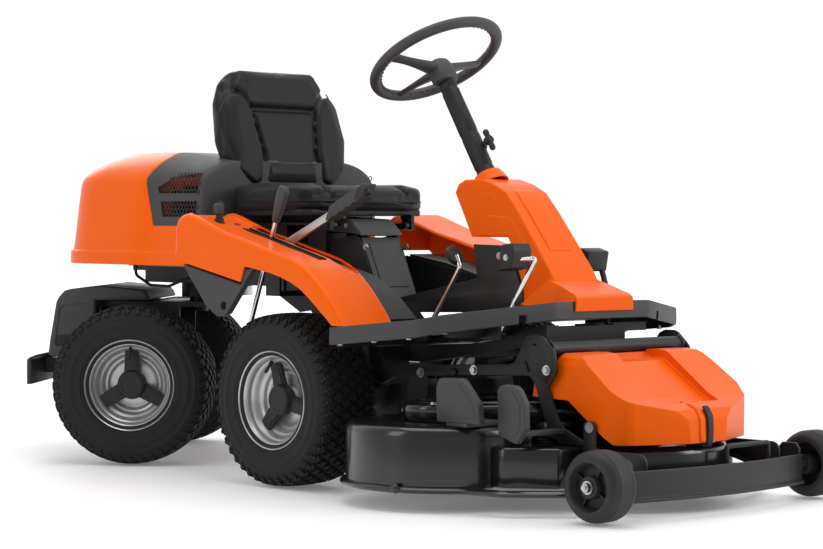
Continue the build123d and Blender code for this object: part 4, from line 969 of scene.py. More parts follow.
def addFenderDetails():
    # inset control panel, its raised border and sockets
    bm = bmesh.new()
    slab(bm, [(207, 602), (246, 614), (300, 631), (325, 626), (325, 620), (300, 625), (246, 608), (207, 596)],
         "x", -297, -421)
    slab(bm, [(212, 604), (246, 615), (298, 631.5), (318, 628), (318, 625), (298, 628), (246, 611),
              (212, 600)], "x", -308, -410)
    addPiece("controlPanel", bm, "blackMoulding", "chassis", round=1.4)
    bm = bmesh.new()
    for x, y, r, z in ((-332, 300, 13, 634), (-384, 300, 9, 633), (-340, 226, 9, 611)):
        lathe(bm, [(r * 0.45, 0), (r * 0.55, 2), (r * 0.8, 3), (r, 2), (r * 1.05, -3), (r * 0.45, -3),
                   (r * 0.45, 0)], at(x, y, z), Vector((0, -0.28, 0.96)), steps=32)
    addPiece("panelSockets", bm, "blackMoulding", "chassis")
    # slot guides either side of the height lever
    bm = bmesh.new()
    for near, far in ((-357.5, -353), (-337, -332.5)):
        slab(bm, [(-86, 536), (20, 563), (92, 582), (186, 606), (186, 590), (92, 566), (20, 547), (-86, 520)],
             "x", near, far)
    addPiece("slotGuides", bm, "blackMoulding", "chassis", round=1)
    # floor and inner lip of the lift-lever trough
    bm = bmesh.new()
    trough = [(-150, 496), (-130, 506), (-100, 517), (20, 542), (60, 552), (60, 546), (20, 536), (-100, 511),
              (-130, 500), (-150, 490)]
    slab(bm, trough, "x", -283, -317)
    addPiece("leverTrough", bm, "orangeShell", "chassis", round=1)


addFenderDetails()
print("fenders done")

# the steering column's line: side, forward of it, along it
columnHead = at(0, -111, 1015)
columnAxis = Vector((0, 0.52696, 0.84989))
columnFront = Vector((0, -0.84989, 0.52696))


def onColumn(side, forward, along):
    return columnHead + Vector((side, 0, 0)) / 1000 + (columnFront * forward + columnAxis * along) / 1000


# console round the foot of the column
console = {
    "halfWidth": 76,
    "taper": (0.52, 0.45),        # from this height in metres, narrowing per metre
    "footTaper": (0.45, 4.5),
    "side": [(-300, 424), (-314, 575), (-246, 692), (-256, 712), (-276, 722), (-330, 724), (-372, 712),
             (-412, 692), (-452, 646), (-505, 578), (-550, 520), (-572, 486), (-600, 474), (-648, 458),
             (-655, 448), (-655, 440), (-480, 424)],
}


def addConsole():
    bm = bmesh.new()
    slab(bm, console["side"], "x", -console["halfWidth"], console["halfWidth"])
    bmesh.ops.recalc_face_normals(bm, faces=bm.faces)
    # the tower narrows a little towards the top
    narrowAbove(bm, *console["taper"])
    front = [e for e in bm.edges if abs(e.verts[0].co.x * e.verts[1].co.x) > 1e-4
             and e.verts[0].co.x * e.verts[1].co.x > 0 and min(v.co.z for v in e.verts) > 0.47]
    bmesh.ops.bevel(bm, geom=front, offset=0.015, offset_type="OFFSET", affect="EDGES", segments=4,
                    profile=0.5, clamp_overlap=True, material=-1)
    tower = addPiece("consoleTower", bm, "orangeShell", "chassis", ["console_cover"],
                     crease=26, outward=False)
    inside = [(-260, 400), (-306, 575), (-256, 690), (-278, 714), (-328, 718), (-408, 686), (-447, 641),
              (-545, 515), (-568, 480), (-640, 452), (-645, 400)]
    bm = bmesh.new()
    slab(bm, inside, "x", -66, 66)
    narrowAbove(bm, *console["taper"])
    bmesh.ops.recalc_face_normals(bm, faces=bm.faces)
    cutWith(tower, [tempObject(bm), prism([(-280, 380), (-300, 588), (-424, 588), (-474, 478), (-482, 380)],
                                          "x", -90, 90)])
    easeEdges(tower, 1.5, 2, 40)
    bm = bmesh.new()
    foot = [(-484, 434), (-536, 476), (-556, 494), (-574, 488), (-604, 478), (-648, 462), (-655.5, 455),
            (-656, 424), (-651.5, 424), (-651.5, 446), (-560, 428)]
    slab(bm, foot, "x", -100, 100)
    narrowAbove(bm, *console["footTaper"])
    addPiece("consoleFoot", bm, "orangeShell", "chassis", round=6, segments=4)
    # raised front panel
    bm = bmesh.new()
    face = [(-398, 699), (-414, 693), (-454, 648), (-507, 579.5), (-522, 559), (-518, 556), (-452, 640),
            (-410, 688)]
    slab(bm, face, "x", -38, 38)
    addPiece("consolePanel", bm, "orangeShell", "chassis", round=2.4, segments=3)
    bm = bmesh.new()
    for side in (-1, 1):
        slab(bm, [(-318, 590), (-352, 640), (-428, 636), (-500, 548), (-470, 480), (-426, 590)], "x",
             side * 66, side * 77.5)
    narrowAbove(bm, *console["taper"])
    addPiece("consoleCheeks", bm, "orangeShell", "chassis", round=3, segments=3)
    bm = bmesh.new()
    for side in (-1, 1):
        lathe(bm, [(0, -6), (7, -6), (7.5, 0), (10, 1.2), (12, 0), (12, -8), (0, -8)],
              at(side * 69.5, -356, 668), Vector((side, 0, 0)), steps=32)
    addPiece("consolePlugs", bm, "blackMoulding", "chassis")
    bm = bmesh.new()
    lathe(bm, [(25, -4), (26, 14), (29, 17), (33, 15), (38, 4), (43, -14), (40, -14), (25, -4)],
          onColumn(0, 0, -345), columnAxis, steps=40)
    addPiece("columnCollar", bm, "orangeShell", "chassis")


addConsole()
print("console done")


def sweepBand(bm, path, section, closed=False, place=at):
    # carries a closed section of (outward, up) pairs along (x, y, z) stations; outward is to the right
    rings = []
    count = len(path)
    for i, (x, y, z) in enumerate(path):
        before = path[i - 1] if closed or i else path[0]
        after = path[(i + 1) % count] if closed or i < count - 1 else path[-1]
        normals = []
        for p, q in ((before, path[i]), (path[i], after)):
            run = Vector((q[0] - p[0], q[1] - p[1]))
            if run.length > 1e-6:
                normals.append(Vector((run.y, -run.x)).normalized())
        mitre = sum(normals, Vector((0, 0))).normalized()
        mitre /= max(0.5, mitre.dot(normals[0]))
        rings.append([(x + mitre.x * out, y + mitre.y * out, z + up) for out, up in section])
    if closed:
        rings.append(rings[0])
    loft(bm, rings, place, capped=not closed)
    bmesh.ops.remove_doubles(bm, verts=bm.verts, dist=1e-6)


def mirrored(points):
    return points + [(-x, *rest) for x, *rest in reversed(points)]


def oval(halfX, halfY, along, steps=32, power=2.6):
    ring = []
    for i in range(steps):
        turn = math.tau * i / steps
        c, s = math.cos(turn), math.sin(turn)
        ring.append((math.copysign(abs(c) ** (2 / power), c) * halfX,
                     math.copysign(abs(s) ** (2 / power), s) * halfY, along))
    return ring


steering = {"rimRadius": 157.5, "rimHalfWidth": 13.6, "rimHalfDepth": 12.8, "ridges": 56, "ridgeRadius": 4.8,
            "spokes": ((0, 17), (180, 17), (270, 15)), "clampAlong": -262}


def addSteering():
    bm = bmesh.new()
    tube = []
    for i in range(24):
        turn = math.tau * i / 24
        tube.append((steering["rimRadius"] + steering["rimHalfWidth"] * math.cos(turn),
                     steering["rimHalfDepth"] * math.sin(turn)))
    lathe(bm, tube + tube[:1], columnHead, columnAxis, steps=112)
    for i in range(steering["ridges"]):
        # finger ridges round the inside of the rim
        turn = math.tau * i / steering["ridges"]
        away = Vector((math.cos(turn), 0, 0)) + columnFront * math.sin(turn)
        bmesh.ops.create_icosphere(bm, subdivisions=1, radius=steering["ridgeRadius"] / 1000,
                                   matrix=Matrix.Translation(columnHead + away * 0.1452 - columnAxis * 0.003))
    addPiece("steeringRim", bm, "greyMoulding", "steering", ["steering_wheel"], crease=40,
             outward=False)
    bm = bmesh.new()
    rings = [oval(24, 20, -68), oval(31, 25, -66), oval(33, 27, -60), oval(33, 27, -36), oval(31, 26, -24),
             oval(27, 23, -14), oval(25, 21, -9), oval(18, 15, -7)]
    loft(bm, rings, onColumn)
    for angle, width in steering["spokes"]:
        c, s = math.cos(math.radians(angle)), math.sin(math.radians(angle))
        rings = []
        for reach, along, half, top, bottom in ((14, -30, width + 6, 10, -13), (40, -24, width + 1, 8, -10),
                                                (90, -13, width - 4, 6, -7), (130, -7, width - 4, 6, -6),
                                                (152, -4, width + 1, 7, -6)):
            flat = [(-half, bottom + 5), (-half, top - 3), (-half + 4, top), (half - 4, top), (half, top - 3),
                    (half, bottom + 5), (half - 6, bottom), (-half + 6, bottom)]
            rings.append([(reach * c - u * s, reach * s + u * c, along + v) for u, v in flat])
        loft(bm, rings, onColumn)
    addPiece("steeringSpokes", bm, "greyMoulding", "steering", crease=35, levels=1)
    bm = bmesh.new()
    steps = [(-352, 0.90), (-350, 0.97), (-346, 1), (-318, 1), (-315, 0.95), (-309, 0.95), (-306, 1),
             (-226, 1), (-222, 0.96), (-214, 0.96), (-210, 1), (-96, 0.97), (-92, 0.90), (-84, 0.90),
             (-80, 0.95), (-71, 0.92), (-70, 0.86)]
    loft(bm, [oval(19 * share, 24 * share, along, power=2.2) for along, share in steps], onColumn)
    clamp = onColumn(0, 0, steering["clampAlong"])
    lathe(bm, [(0, 18), (13, 18), (13, 24), (11, 27), (0, 27)], clamp, columnFront, steps=28)
    addPiece("columnSleeve", bm, "blackMoulding", "column", ["column_sleeve"], crease=40)
    bm = bmesh.new()
    lathe(bm, [(0, 27.5), (6, 27.5), (6, 38), (10.5, 39), (11, 52), (9, 55), (0, 55)],
          clamp, columnFront, steps=28)
    bar = [(0, -28), (4, -27.5), (7, -24), (7.4, -18), (6.2, -8), (6.2, 8), (7.4, 18), (7, 24), (4, 27.5),
           (0, 28)]
    lathe(bm, bar, clamp + columnFront * 0.048, columnAxis, steps=24)
    addPiece("clampKnob", bm, "blackMoulding", "knob", ["column_knob"], crease=40)


addSteering()
print("steering done")


# levers on the right
liftLever = {"pivot": (-300, 175, 530), "slope": math.radians(24)}


def alongBar(along, up):
    # (y, z) of a point along the lift lever's bar and above it
    c, s = math.cos(liftLever["slope"]), math.sin(liftLever["slope"])
    _, y, z = liftLever["pivot"]
    return (y - along * c - up * s, z + along * s + up * c)


def addLevers():
    outline = [alongBar(*p) for p in ((-14, -14), (286, -14), (286, 14), (24, 14.5), (10, 16), (-14, 14))]
    bar = placed(outline, "x", -305, -295, round=1.2)
    lathe(bar, [(0, -7), (16, -7), (17, -5), (17, 5), (16, 7), (0, 7)], at(*liftLever["pivot"]),
          Vector((1, 0, 0)), steps=36)
    addPiece("liftBar", bar, "zincPlate", "lift_lever_body", ["lift_lever"], crease=35)
    under = [(270 + 3.25 * i, -20 + 2.8 * math.cos(math.tau * (3.25 * i) / 26)) for i in range(41)]
    top = [(400, 18), (390, 23), (340, 22.5), (280, 21), (270, 18)]
    grip = placed([alongBar(a, u) for a, u in under + top], "x", -319.5, -280.5, round=6, segments=3)
    for i in range(5):
        fin = [alongBar(a, u) for a, u in ((376 + 5 * i, -15), (378.5 + 5 * i, -15), (378.5 + 5 * i, 17),
                                           (376 + 5 * i, 17))]
        slab(grip, fin, "x", -320.6, -279.4)
    addPiece("liftGrip", grip, "greyMoulding", "lift_lever_body", ["lift_grip"], crease=40,
             outward=True)
    bm = bmesh.new()
    along = Vector((0, -math.cos(liftLever["slope"]), math.sin(liftLever["slope"])))
    lathe(bm, [(0, 388), (8.8, 388), (9, 404), (7, 406.5), (0, 407)], at(*liftLever["pivot"]), along,
          steps=32)
    addPiece("liftButton", bm, "blackMoulding", "lift_button_body", ["lift_button"],
             crease=40)
    # cutting-height lever
    up = Vector((0, 51 - 178, 700 - 350)).normalized()
    face = Vector((0, up.z, -up.y))

    def onStem(side, forward, far):
        return at(-345, 178, 350) + (Vector((side, 0, 0)) + face * forward + up * far) / 1000
    bm = bmesh.new()
    lathe(bm, [(0, 12), (6, 12), (6, 296), (0, 298)], at(-345, 178, 350), up, steps=28)
    lathe(bm, [(8.05, -10), (16, -10), (16, 10), (8.05, 10), (8.05, -10)], at(-345, 178, 350),
          Vector((1, 0, 0)), steps=32)
    addPiece("heightStem", bm, "brightRod", "height_lever_body", ["height_lever"], crease=35,
             outward=False)
    bm = bmesh.new()
    rings = [oval(6.5, 6.5, 286, 24), oval(9, 9.5, 289, 24), oval(10, 11.5, 305, 24), oval(11, 14.5, 330, 24),
             oval(11, 16, 355, 24), oval(10, 15.5, 368, 24), oval(7, 12, 375, 24), oval(3, 6, 377, 24)]
    loft(bm, rings, onStem)
    addPiece("heightGrip", bm, "greyMoulding", "height_lever_body", crease=50)
    # throttle with its boot, and the key
    bm = bmesh.new()
    rings = []
    for z, half in ((600, 13), (606, 13.5), (612, 11), (616, 11.5), (621, 9), (625, 9.4), (630, 7),
                    (634, 7.4), (636, 6)):
        rings.append([(p[0] * half - 380, p[1] * half * 1.25 + 246, z) for p in oval(1, 1, 0, 28)])
    loft(bm, rings)
    addPiece("throttleBoot", bm, "blackMoulding", "throttle_body", ["throttle_lever"],
             crease=50)
    bm = bmesh.new()
    rings = []
    for z, wide, deep, shift in ((636, 7, 6, 0), (640, 10.5, 9, 1), (650, 12, 10, 2), (660, 12, 10, 2),
                                 (664, 9, 7, 2)):
        rings.append([(p[0] * wide - 380, p[1] * deep + 246 + shift, z) for p in oval(1, 1, 0, 24, 4)])
    loft(bm, rings)
    addPiece("throttleKnob", bm, "greyMoulding", "throttle_body", round=1, crease=30)
    bow = placed([(288, 649), (288, 664), (293, 670), (307, 670), (312, 664), (312, 649), (305, 646),
                  (295, 646)], "x", -334.5, -329.5, round=1.4)
    lathe(bow, [(0, 616), (3.9, 616), (3.9, 648), (0, 648)], at(-332, 300, 0), Vector((0, 0, 1)), steps=20)
    addPiece("ignitionKey", bow, "blackMoulding", "key_body", ["ignition_key"], crease=40)


addLevers()


def addPedals():
    def pedalHub(bm, x, y, z):
        lathe(bm, [(5.05, -8), (11, -8), (11, 8), (5.05, 8), (5.05, -8)], at(x, y, z), Vector((1, 0, 0)),
              steps=28)
    addRod("forwardRod", [at(*p) for p in ((-212, -532, 380), (-208, -541, 399), (-184, -600, 528),
                                           (-182, -606, 541), (-190, -602, 543), (-228, -593, 541))], 6,
           "brightRod", "forward_pedal_body", ["forward_pedal"])
    pad = placed([(-557, 514), (-596, 520), (-604, 560), (-597, 577), (-567, 574)], "x", -251, -189, round=4)
    for i in range(4):
        slab(pad, [(-560 - 0.6 * i, 526 + 12 * i), (-557 - 0.6 * i, 526 + 12 * i),
                   (-559 - 0.6 * i, 532 + 12 * i), (-562 - 0.6 * i, 532 + 12 * i)], "x", -246, -194)
    pedalHub(pad, -212, -529, 372)
    addPiece("forwardPad", pad, "blackMoulding", "forward_pedal_body", crease=35)
    bm = bmesh.new()
    bolt(bm, at(-251, -582, 545), Vector((-1, 0, 0)), 5, 3)
    addPiece("forwardScrew", bm, "zincPlate", "forward_pedal_body", crease=35)
    addRod("reverseRod", [at(*p) for p in ((-178, -266, 366), (-178, -268, 378), (-178, -284, 396),
                                           (-178, -362, 507), (-178, -370, 520),
                                           (-178, -364, 532), (-178, -358, 546))], 6, "brightRod",
           "reverse_pedal_body", ["reverse_pedal"])
    bm = bmesh.new()
    facing = Vector((0, -math.sin(math.radians(62)), math.cos(math.radians(62))))
    lathe(bm, [(0, -7), (20, -7), (24, -4), (24, 3), (21, 6.5), (12, 6.8), (11, 5.5), (0, 5.5)],
          at(-178, -352, 546), facing, steps=44)
    pedalHub(bm, -178, -262, 358)
    addPiece("reverseDisc", bm, "blackMoulding", "reverse_pedal_body", crease=35)
    addRod("brakeRod", [at(*p) for p in ((150, -532, 380), (150, -531, 440), (150, -530, 458),
                                         (150, -526, 482), (150, -512, 520))], 7, "blackCasting",
           "brake_pedal_body", ["brake_pedal"])
    pad = placed([(-490, 508), (-524, 510), (-532, 556), (-501, 565)], "x", 85, 157, round=4)
    for i in range(4):
        slab(pad, [(-490 - 1.6 * i, 518 + 11 * i), (-487 - 1.6 * i, 518 + 11 * i),
                   (-489 - 1.6 * i, 523 + 11 * i), (-493 - 1.6 * i, 523 + 11 * i)], "x", 90, 152)
    pedalHub(pad, 150, -529, 372)
    addPiece("brakePad", pad, "blackMoulding", "brake_pedal_body", crease=35)


addPedals()
print("levers and pedals done")


def addCentre():
    # sheet tunnel, pedestal front and cap
    wallSide = [(16, 401), (-477, 416), (-466, 452), (-460, 470), (-418, 560), (-412, 569), (-306, 571),
                (-318, 491), (12, 425), (74, 568), (84, 583), (100, 591), (273, 554), (273, 503), (190, 503),
                (80, 401)]
    left = placed(wallSide, "x", 65, 68, round=0.9, segments=2)
    right = placed(wallSide, "x", -68, -65, round=0.9, segments=2)
    deckTop = placed([(-318, 490), (12, 424), (12, 421), (-318, 487)], "x", -66, 66, round=0.8)
    addPiece("tunnelSheet", joined(left, right, deckTop), "powderCoat", "chassis", ["tunnel"],
             crease=35)
    front = placed([(9, 428), (80, 583), (84, 583), (13, 428)], "x", -63, 63, round=1.2)
    panel = placed([(22, 463), (70, 568), (73, 567), (25, 462)], "x", -46, 46, round=1)
    cap = placed([(72, 588), (80, 599), (104, 620), (118, 628), (250, 634), (250, 628), (120, 622),
                  (106, 614), (78, 586)], "x", -70, 70, round=2)
    cheeks = []
    for side in (-1, 1):
        cheeks.append(placed([(74, 589), (118, 627), (250, 632), (250, 600), (120, 594)], "x", side * 68.6,
                             side * 70.8, round=1))
    addPiece("pedestalFront", joined(front, panel, cap, *cheeks), "greyMoulding", "chassis",
             ["pedestal_cover"], crease=35)
    bm = bmesh.new()
    for side in (-1, 1):
        for y, z in ((60, 560), (-440, 440), (-390, 545)):
            bolt(bm, at(side * 68.2, y, z), Vector((side, 0, 0)), 6, 3.6)
        bolt(bm, at(side * 48, 160, 630), Vector((0, 0.045, 1)), 5, 3)
        bolt(bm, at(side * 70.8, 128, 612), Vector((side, 0, 0)), 4.5, 3)
    addPiece("panelScrews", bm, "zincPlate", "chassis", ["chassis_bolts"], crease=35)
    # rubber mats on the footplate
    def plateZ(y):
        return 380 + (-212 - y) / 278 * 27 if y > -490 else 407 + (-490 - y) / 160 * 37
    mats = bmesh.new()
    for side in (-1, 1):
        for i in range(22):
            y = -228 - i * 12
            if abs(y + 275) < 34 and side < 0:
                continue
            inner = 84 if side > 0 or abs(y + 275) > 40 else 200
            z = plateZ(y)
            slab(mats, [(y, z + 0.2), (y, z + 2.6), (y - 6, z + 3.0), (y - 6, z + 0.6)], "x", side * inner,
                 side * 424)
    addPiece("floorMats", mats, "wheelRubber", "chassis", round=0.7, crease=30)
    # skirt round the footplate
    edge = [(440, -213, 380), (440, -300, 388.5), (440, -400, 398.3), (440, -484, 406.4), (437, -496, 408.5),
            (410, -529, 416), (398, -537, 418), (290, -588.6, 429.8), (166, -648, 443.4), (154, -650, 444),
            (0, -650, 444)]
    path = edge + [(-x, y, z) for x, y, z in reversed(edge[:-1])]
    section = [(-0.4, 0), (-1.6, 2), (-8, 2), (-8, -0.8), (-4.6, -1.6), (-4.2, -34), (-8, -36.5), (-8, -38),
               (-1.6, -38), (0, -36), (0.3, -19)]
    bm = bmesh.new()
    sweepBand(bm, path, [(-out, up) for out, up in section] if edgeIsLeft(path) else section)
    skirt = addPiece("footplateSkirt", bm, "greyMoulding", "chassis", ["footplate_skirt"],
                     crease=32)
    notches = []
    for side in (-1, 1):
        notches.append(prism([(-648, 370), (-648, 418), (-588, 418), (-588, 370)], "x", side * 222,
                             side * 240))
    cutWith(skirt, notches)
    bm = bmesh.new()
    for side in (-1, 1):
        for y in (-240, -350, -460):
            z = plateZ(y) - 38
            lathe(bm, [(0, -8), (4, -8), (4, 0), (6.5, 0), (6.5, 2), (0, 2)], at(side * 430, y, z),
                  Vector((0, 0, -1)), steps=16)
    addPiece("skirtScrews", bm, "zincPlate", "chassis", crease=35)
    # control rods under the footplate
    for name, run in (("linkRodRight", ((-212, -520, 366), (-206, -470, 352), (-160, -330, 344),
                                        (-150, -240, 338))),
                      ("linkRodLeft", ((150, -520, 366), (160, -470, 352), (162, -330, 344),
                                       (160, -250, 340)))):
        addRod(name, [at(*p) for p in run], 3.2, "brightRod", "chassis")


def edgeIsLeft(path):
    # whether the outside of the loop lies to the left of its direction
    (x0, y0, _), (x1, y1, _) = path[0], path[1]
    middle = Vector((x1 - x0, y1 - y0))
    outward = Vector((middle.y, -middle.x))
    return outward.x * x0 < 0


addCentre()
print("centre done")


# cutting deck
def hullOutline(circles, steps=72):
    # the taut outline round several (x, y, radius) circles
    points = []
    for i in range(steps):
        c, s = math.cos(math.tau * i / steps), math.sin(math.tau * i / steps)
        x, y, r = max(circles, key=lambda k: k[0] * c + k[1] * s + k[2])
        points.append((x + r * c, y + r * s))
    return points


def deckEdge(extra, steps=168):
    # outline of the three joined lobes, as distances from a point inside them
    centre = Vector((0, -590))
    circles = [(Vector((325, -458)), 213 + extra), (Vector((-325, -458)), 213 + extra),
               (Vector((0, -702)), 250 + extra)]
    corners = [(235 + extra, -398), (440 + extra, -640), (430 + extra, -744), (332 + extra, -832 - extra),
               (150, -900)]
    corners = [Vector(p) for p in corners] + [Vector((-x, y)) for x, y in reversed(corners)]
    outline = []
    for i in range(steps):
        turn = math.tau * (i + 0.5) / steps
        ray = Vector((math.cos(turn), math.sin(turn)))
        reach = 0
        for middle, r in circles:
            off = middle - centre
            along = off.dot(ray)
            gap = off.length_squared - along * along
            if gap < r * r:
                reach = max(reach, along + math.sqrt(r * r - gap))
        for p, q in zip(corners, corners[1:] + corners[:1]):
            edge = q - p
            across = ray.x * edge.y - ray.y * edge.x
            if abs(across) > 1e-9:
                start = p - centre
                t = (start.x * edge.y - start.y * edge.x) / across
                u = (start.x * ray.y - start.y * ray.x) / across
                if 0 <= u <= 1 and t > 0:
                    reach = max(reach, t)
        outline.append(tuple(centre + ray * reach))
    return outline


deckLobes = [(325, -458, 213, 182), (-325, -458, 213, 182), (0, -702, 242, 140)]    # x, y, radius, top


def lobeRoom(skip=None):
    # the hollow inside each lobe, as cutters
    rooms = []
    for lobe in deckLobes:
        if lobe is not skip:
            x, y, r, top = lobe
            drum = bmesh.new()
            lathe(drum, [(0, 30), (r - 4.5, 30), (r - 4.5, top - 8), (0, top - 8)], at(x, y, 0),
                  Vector((0, 0, 1)), steps=96)
            bmesh.ops.remove_doubles(drum, verts=drum.verts, dist=2e-6)
            bmesh.ops.recalc_face_normals(drum, faces=drum.faces)
            rooms.append(tempObject(drum))
    return rooms


def addDeckShell():
    plan = mirrored([(200, -368), (330, -560), (385, -650), (372, -700), (300, -790)])
    inner = [(x * 0.985, -579 + (y + 579) * 0.98) for x, y in plan]
    whole = bmesh.new()
    for lobe in deckLobes:
        x, y, r, top = lobe
        wall = [(r, 50), (r, top - 20), (r - 1.5, top - 12), (r - 6, top - 5), (r - 13, top - 1),
                (r - 24, top), (r - 40, top), (r - 43, top - 1.2), (r - 70, top - 1.2), (r - 73, top),
                (34, top), (30, top + 3), (16, top + 3.5), (16, top - 6), (r - 26, top - 4),
                (r - 12, top - 6), (r - 5, top - 14), (r - 4, top - 22), (r - 4, 50), (r, 50)]
        bm = bmesh.new()
        lathe(bm, wall, at(x, y, 0), Vector((0, 0, 1)), steps=128)
        bmesh.ops.remove_doubles(bm, verts=bm.verts, dist=2e-6)
        bmesh.ops.recalc_face_normals(bm, faces=bm.faces)
        drum = tempObject(bm)
        cutWith(drum, lobeRoom(lobe) + [prism(inner, "z", 40, 133.5)])
        whole.from_mesh(drum.data)
        bpy.data.objects.remove(drum)
    addPiece("deckLobes", whole, "deckPaint", "deck", ["deck_shell"], crease=36, outward=False)
    bridge = placed(plan, "z", 52, 139, round=6)
    hood = addPiece("deckBridge", bridge, "deckPaint", "deck", crease=36)
    cutWith(hood, [prism(inner, "z", 40, 134)] + lobeRoom())
    bm = bmesh.new()
    section = [(-14, 40), (-2, 39.6), (5, 41.5), (9, 46), (9, 49), (5, 53.5), (-2, 55), (-14, 54)]
    sweepBand(bm, [(x, y, 0) for x, y in deckEdge(4)], section, closed=True)
    addPiece("deckRing", bm, "deckPaint", "deck", crease=40)
    bm = bmesh.new()
    for side in (-1, 1):
        # the ring's split with its turned-up end, and hangers for the side brackets
        bmesh.ops.create_uvsphere(bm, u_segments=24, v_segments=16, radius=0.011,
                                  matrix=Matrix.Translation(at(side * 536, -530, 50)))
        slab(bm, [(-359, 182), (-311, 182), (-316, 249), (-354, 249)], "x", side * 218, side * 226)
    addPiece("deckFittings", bm, "deckPaint", "deck", round=1.2)
    # belt cover in two levels
    circles = [(x, y) for x, y, _, _ in (deckLobes[2], deckLobes[0], deckLobes[1])]
    bm = bmesh.new()
    rings = []
    for r, z in ((88, 183), (88, 211), (87, 216), (83, 220.5), (77, 222), (62, 222.3), (59, 223.2),
                 (57, 226.4), (53, 228), (40, 228)):
        rings.append([(x, y, z) for x, y in hullOutline([(x, y, r) for x, y in circles])])
    loft(bm, rings, capped=False)
    rim = [e for e in bm.edges if e.is_boundary and e.verts[0].co.z > 0.22]
    bmesh.ops.holes_fill(bm, edges=rim, sides=0)
    addPiece("beltCover", bm, "deckPaint", "deck", ["belt_cover"], crease=40, thick=2.4)
    bm = bmesh.new()
    for x, y in ((325, -458), (-325, -458), (392, -500), (-392, -500), (300, -392), (-300, -392)):
        bolt(bm, at(x, y, 222 if abs(x) > 330 or y > -400 else 228), Vector((0, 0, 1)), 6, 4)
    addPiece("beltCoverBolts", bm, "zincPlate", "deck", crease=35)


addDeckShell()


def coverBlock(inset, drop=0):
    side = [(-641, 240), (-641, 308), (-690, 321), (-706, 337), (-740, 338), (-764, 335), (-884, 247),
            (-942, 219), (-953, 200), (-956, 147), (-868, 147), (-745, 236)]
    cross = mirrored([(226, 140), (225.5, 238), (213, 312), (206, 328), (192, 338.5)])
    plan = mirrored([(226, -630), (226, -846), (219, -866), (202, -896), (190, -905), (60, -956)])
    middle = (-800, 240)
    shrink = 1 - inset / 150
    side = [(middle[0] + (y - middle[0]) * (1 - inset / 158), middle[1] + (z - middle[1]) * shrink - drop)
            for y, z in side]
    cross = [(x * (1 - inset / 226), z - inset - drop) for x, z in cross]
    plan = [(x * (1 - inset / 226), y + inset * (y < -840)) for x, y in plan]
    block = tempObject(placed(side, "x", -230, 230), "cover")
    for shape in (prism(cross, "y", -600, -975), prism(plan, "z", 90, 380)):
        cut = block.modifiers.new("cut", "BOOLEAN")
        cut.operation = "INTERSECT"
        cut.solver = "EXACT"
        cut.object = shape
        bpy.context.view_layer.objects.active = block
        bpy.ops.object.modifier_apply(modifier=cut.name)
        bpy.data.objects.remove(shape)
    return block


def addDeckCover():
    bm = meshOf(coverBlock(0))
    bmesh.ops.dissolve_limit(bm, angle_limit=math.radians(2), verts=bm.verts, edges=bm.edges)
    softenEdges(bm, 7, 4, above=14)
    cover = addPiece("deckCover", bm, "orangeShell", "deck", ["deck_cover"], crease=50)
    recess = [(-690, 350), (-703, 326), (-715, 319), (-738, 318), (-758, 315), (-868, 240), (-886, 231),
              (-903, 228), (-916, 234), (-930, 252), (-940, 350)]
    cutters = [coverBlock(9, 22), prism(recess, "x", -88, 88, round=5)]
    for side in (-1, 1):
        cutters.append(prism([(-630, 296), (-630, 352), (-700, 352), (-706, 336), (-690, 306), (-664, 296)],
                             "x", side * 176, side * 240, round=4))
    cutWith(cover, cutters)
    easeEdges(cover, 2.2, 3, 34)
    rib = placed([(-898, 236), (-930, 230), (-944, 221.5), (-956.5, 201), (-959.5, 150), (-950, 150),
                  (-947, 199), (-936, 212), (-898, 224)], "x", -32, -13, round=2.5)
    addPiece("coverRib", rib, "orangeShell", "deck", crease=35)
    strap = placed([(-960.5, 205), (-962.5, 175), (-961, 148), (-957, 141), (-950, 138), (-950, 142),
                    (-955, 148), (-957.5, 175), (-955.5, 200), (-946, 219), (-942, 224), (-944, 227),
                    (-950, 222)], "x", -9, 9, round=1)
    slab(strap, [(-952, 150), (-952, 138), (-905, 138), (-905, 150)], "x", -14, 14)
    addPiece("coverStrap", strap, "wheelRubber", "deck", crease=35)
    bm = bmesh.new()
    for side in (-1, 1):
        lathe(bm, [(0, -10), (8, -10), (8, -1), (12, 0), (15, 2), (16, 0), (16, -10), (0, -10)],
              at(side * 212, -668, 318), Vector((side, 0, 0)), steps=36)
    addPiece("coverSockets", bm, "blackMoulding", "deck", crease=35)


addDeckCover()
print("deck cover done")


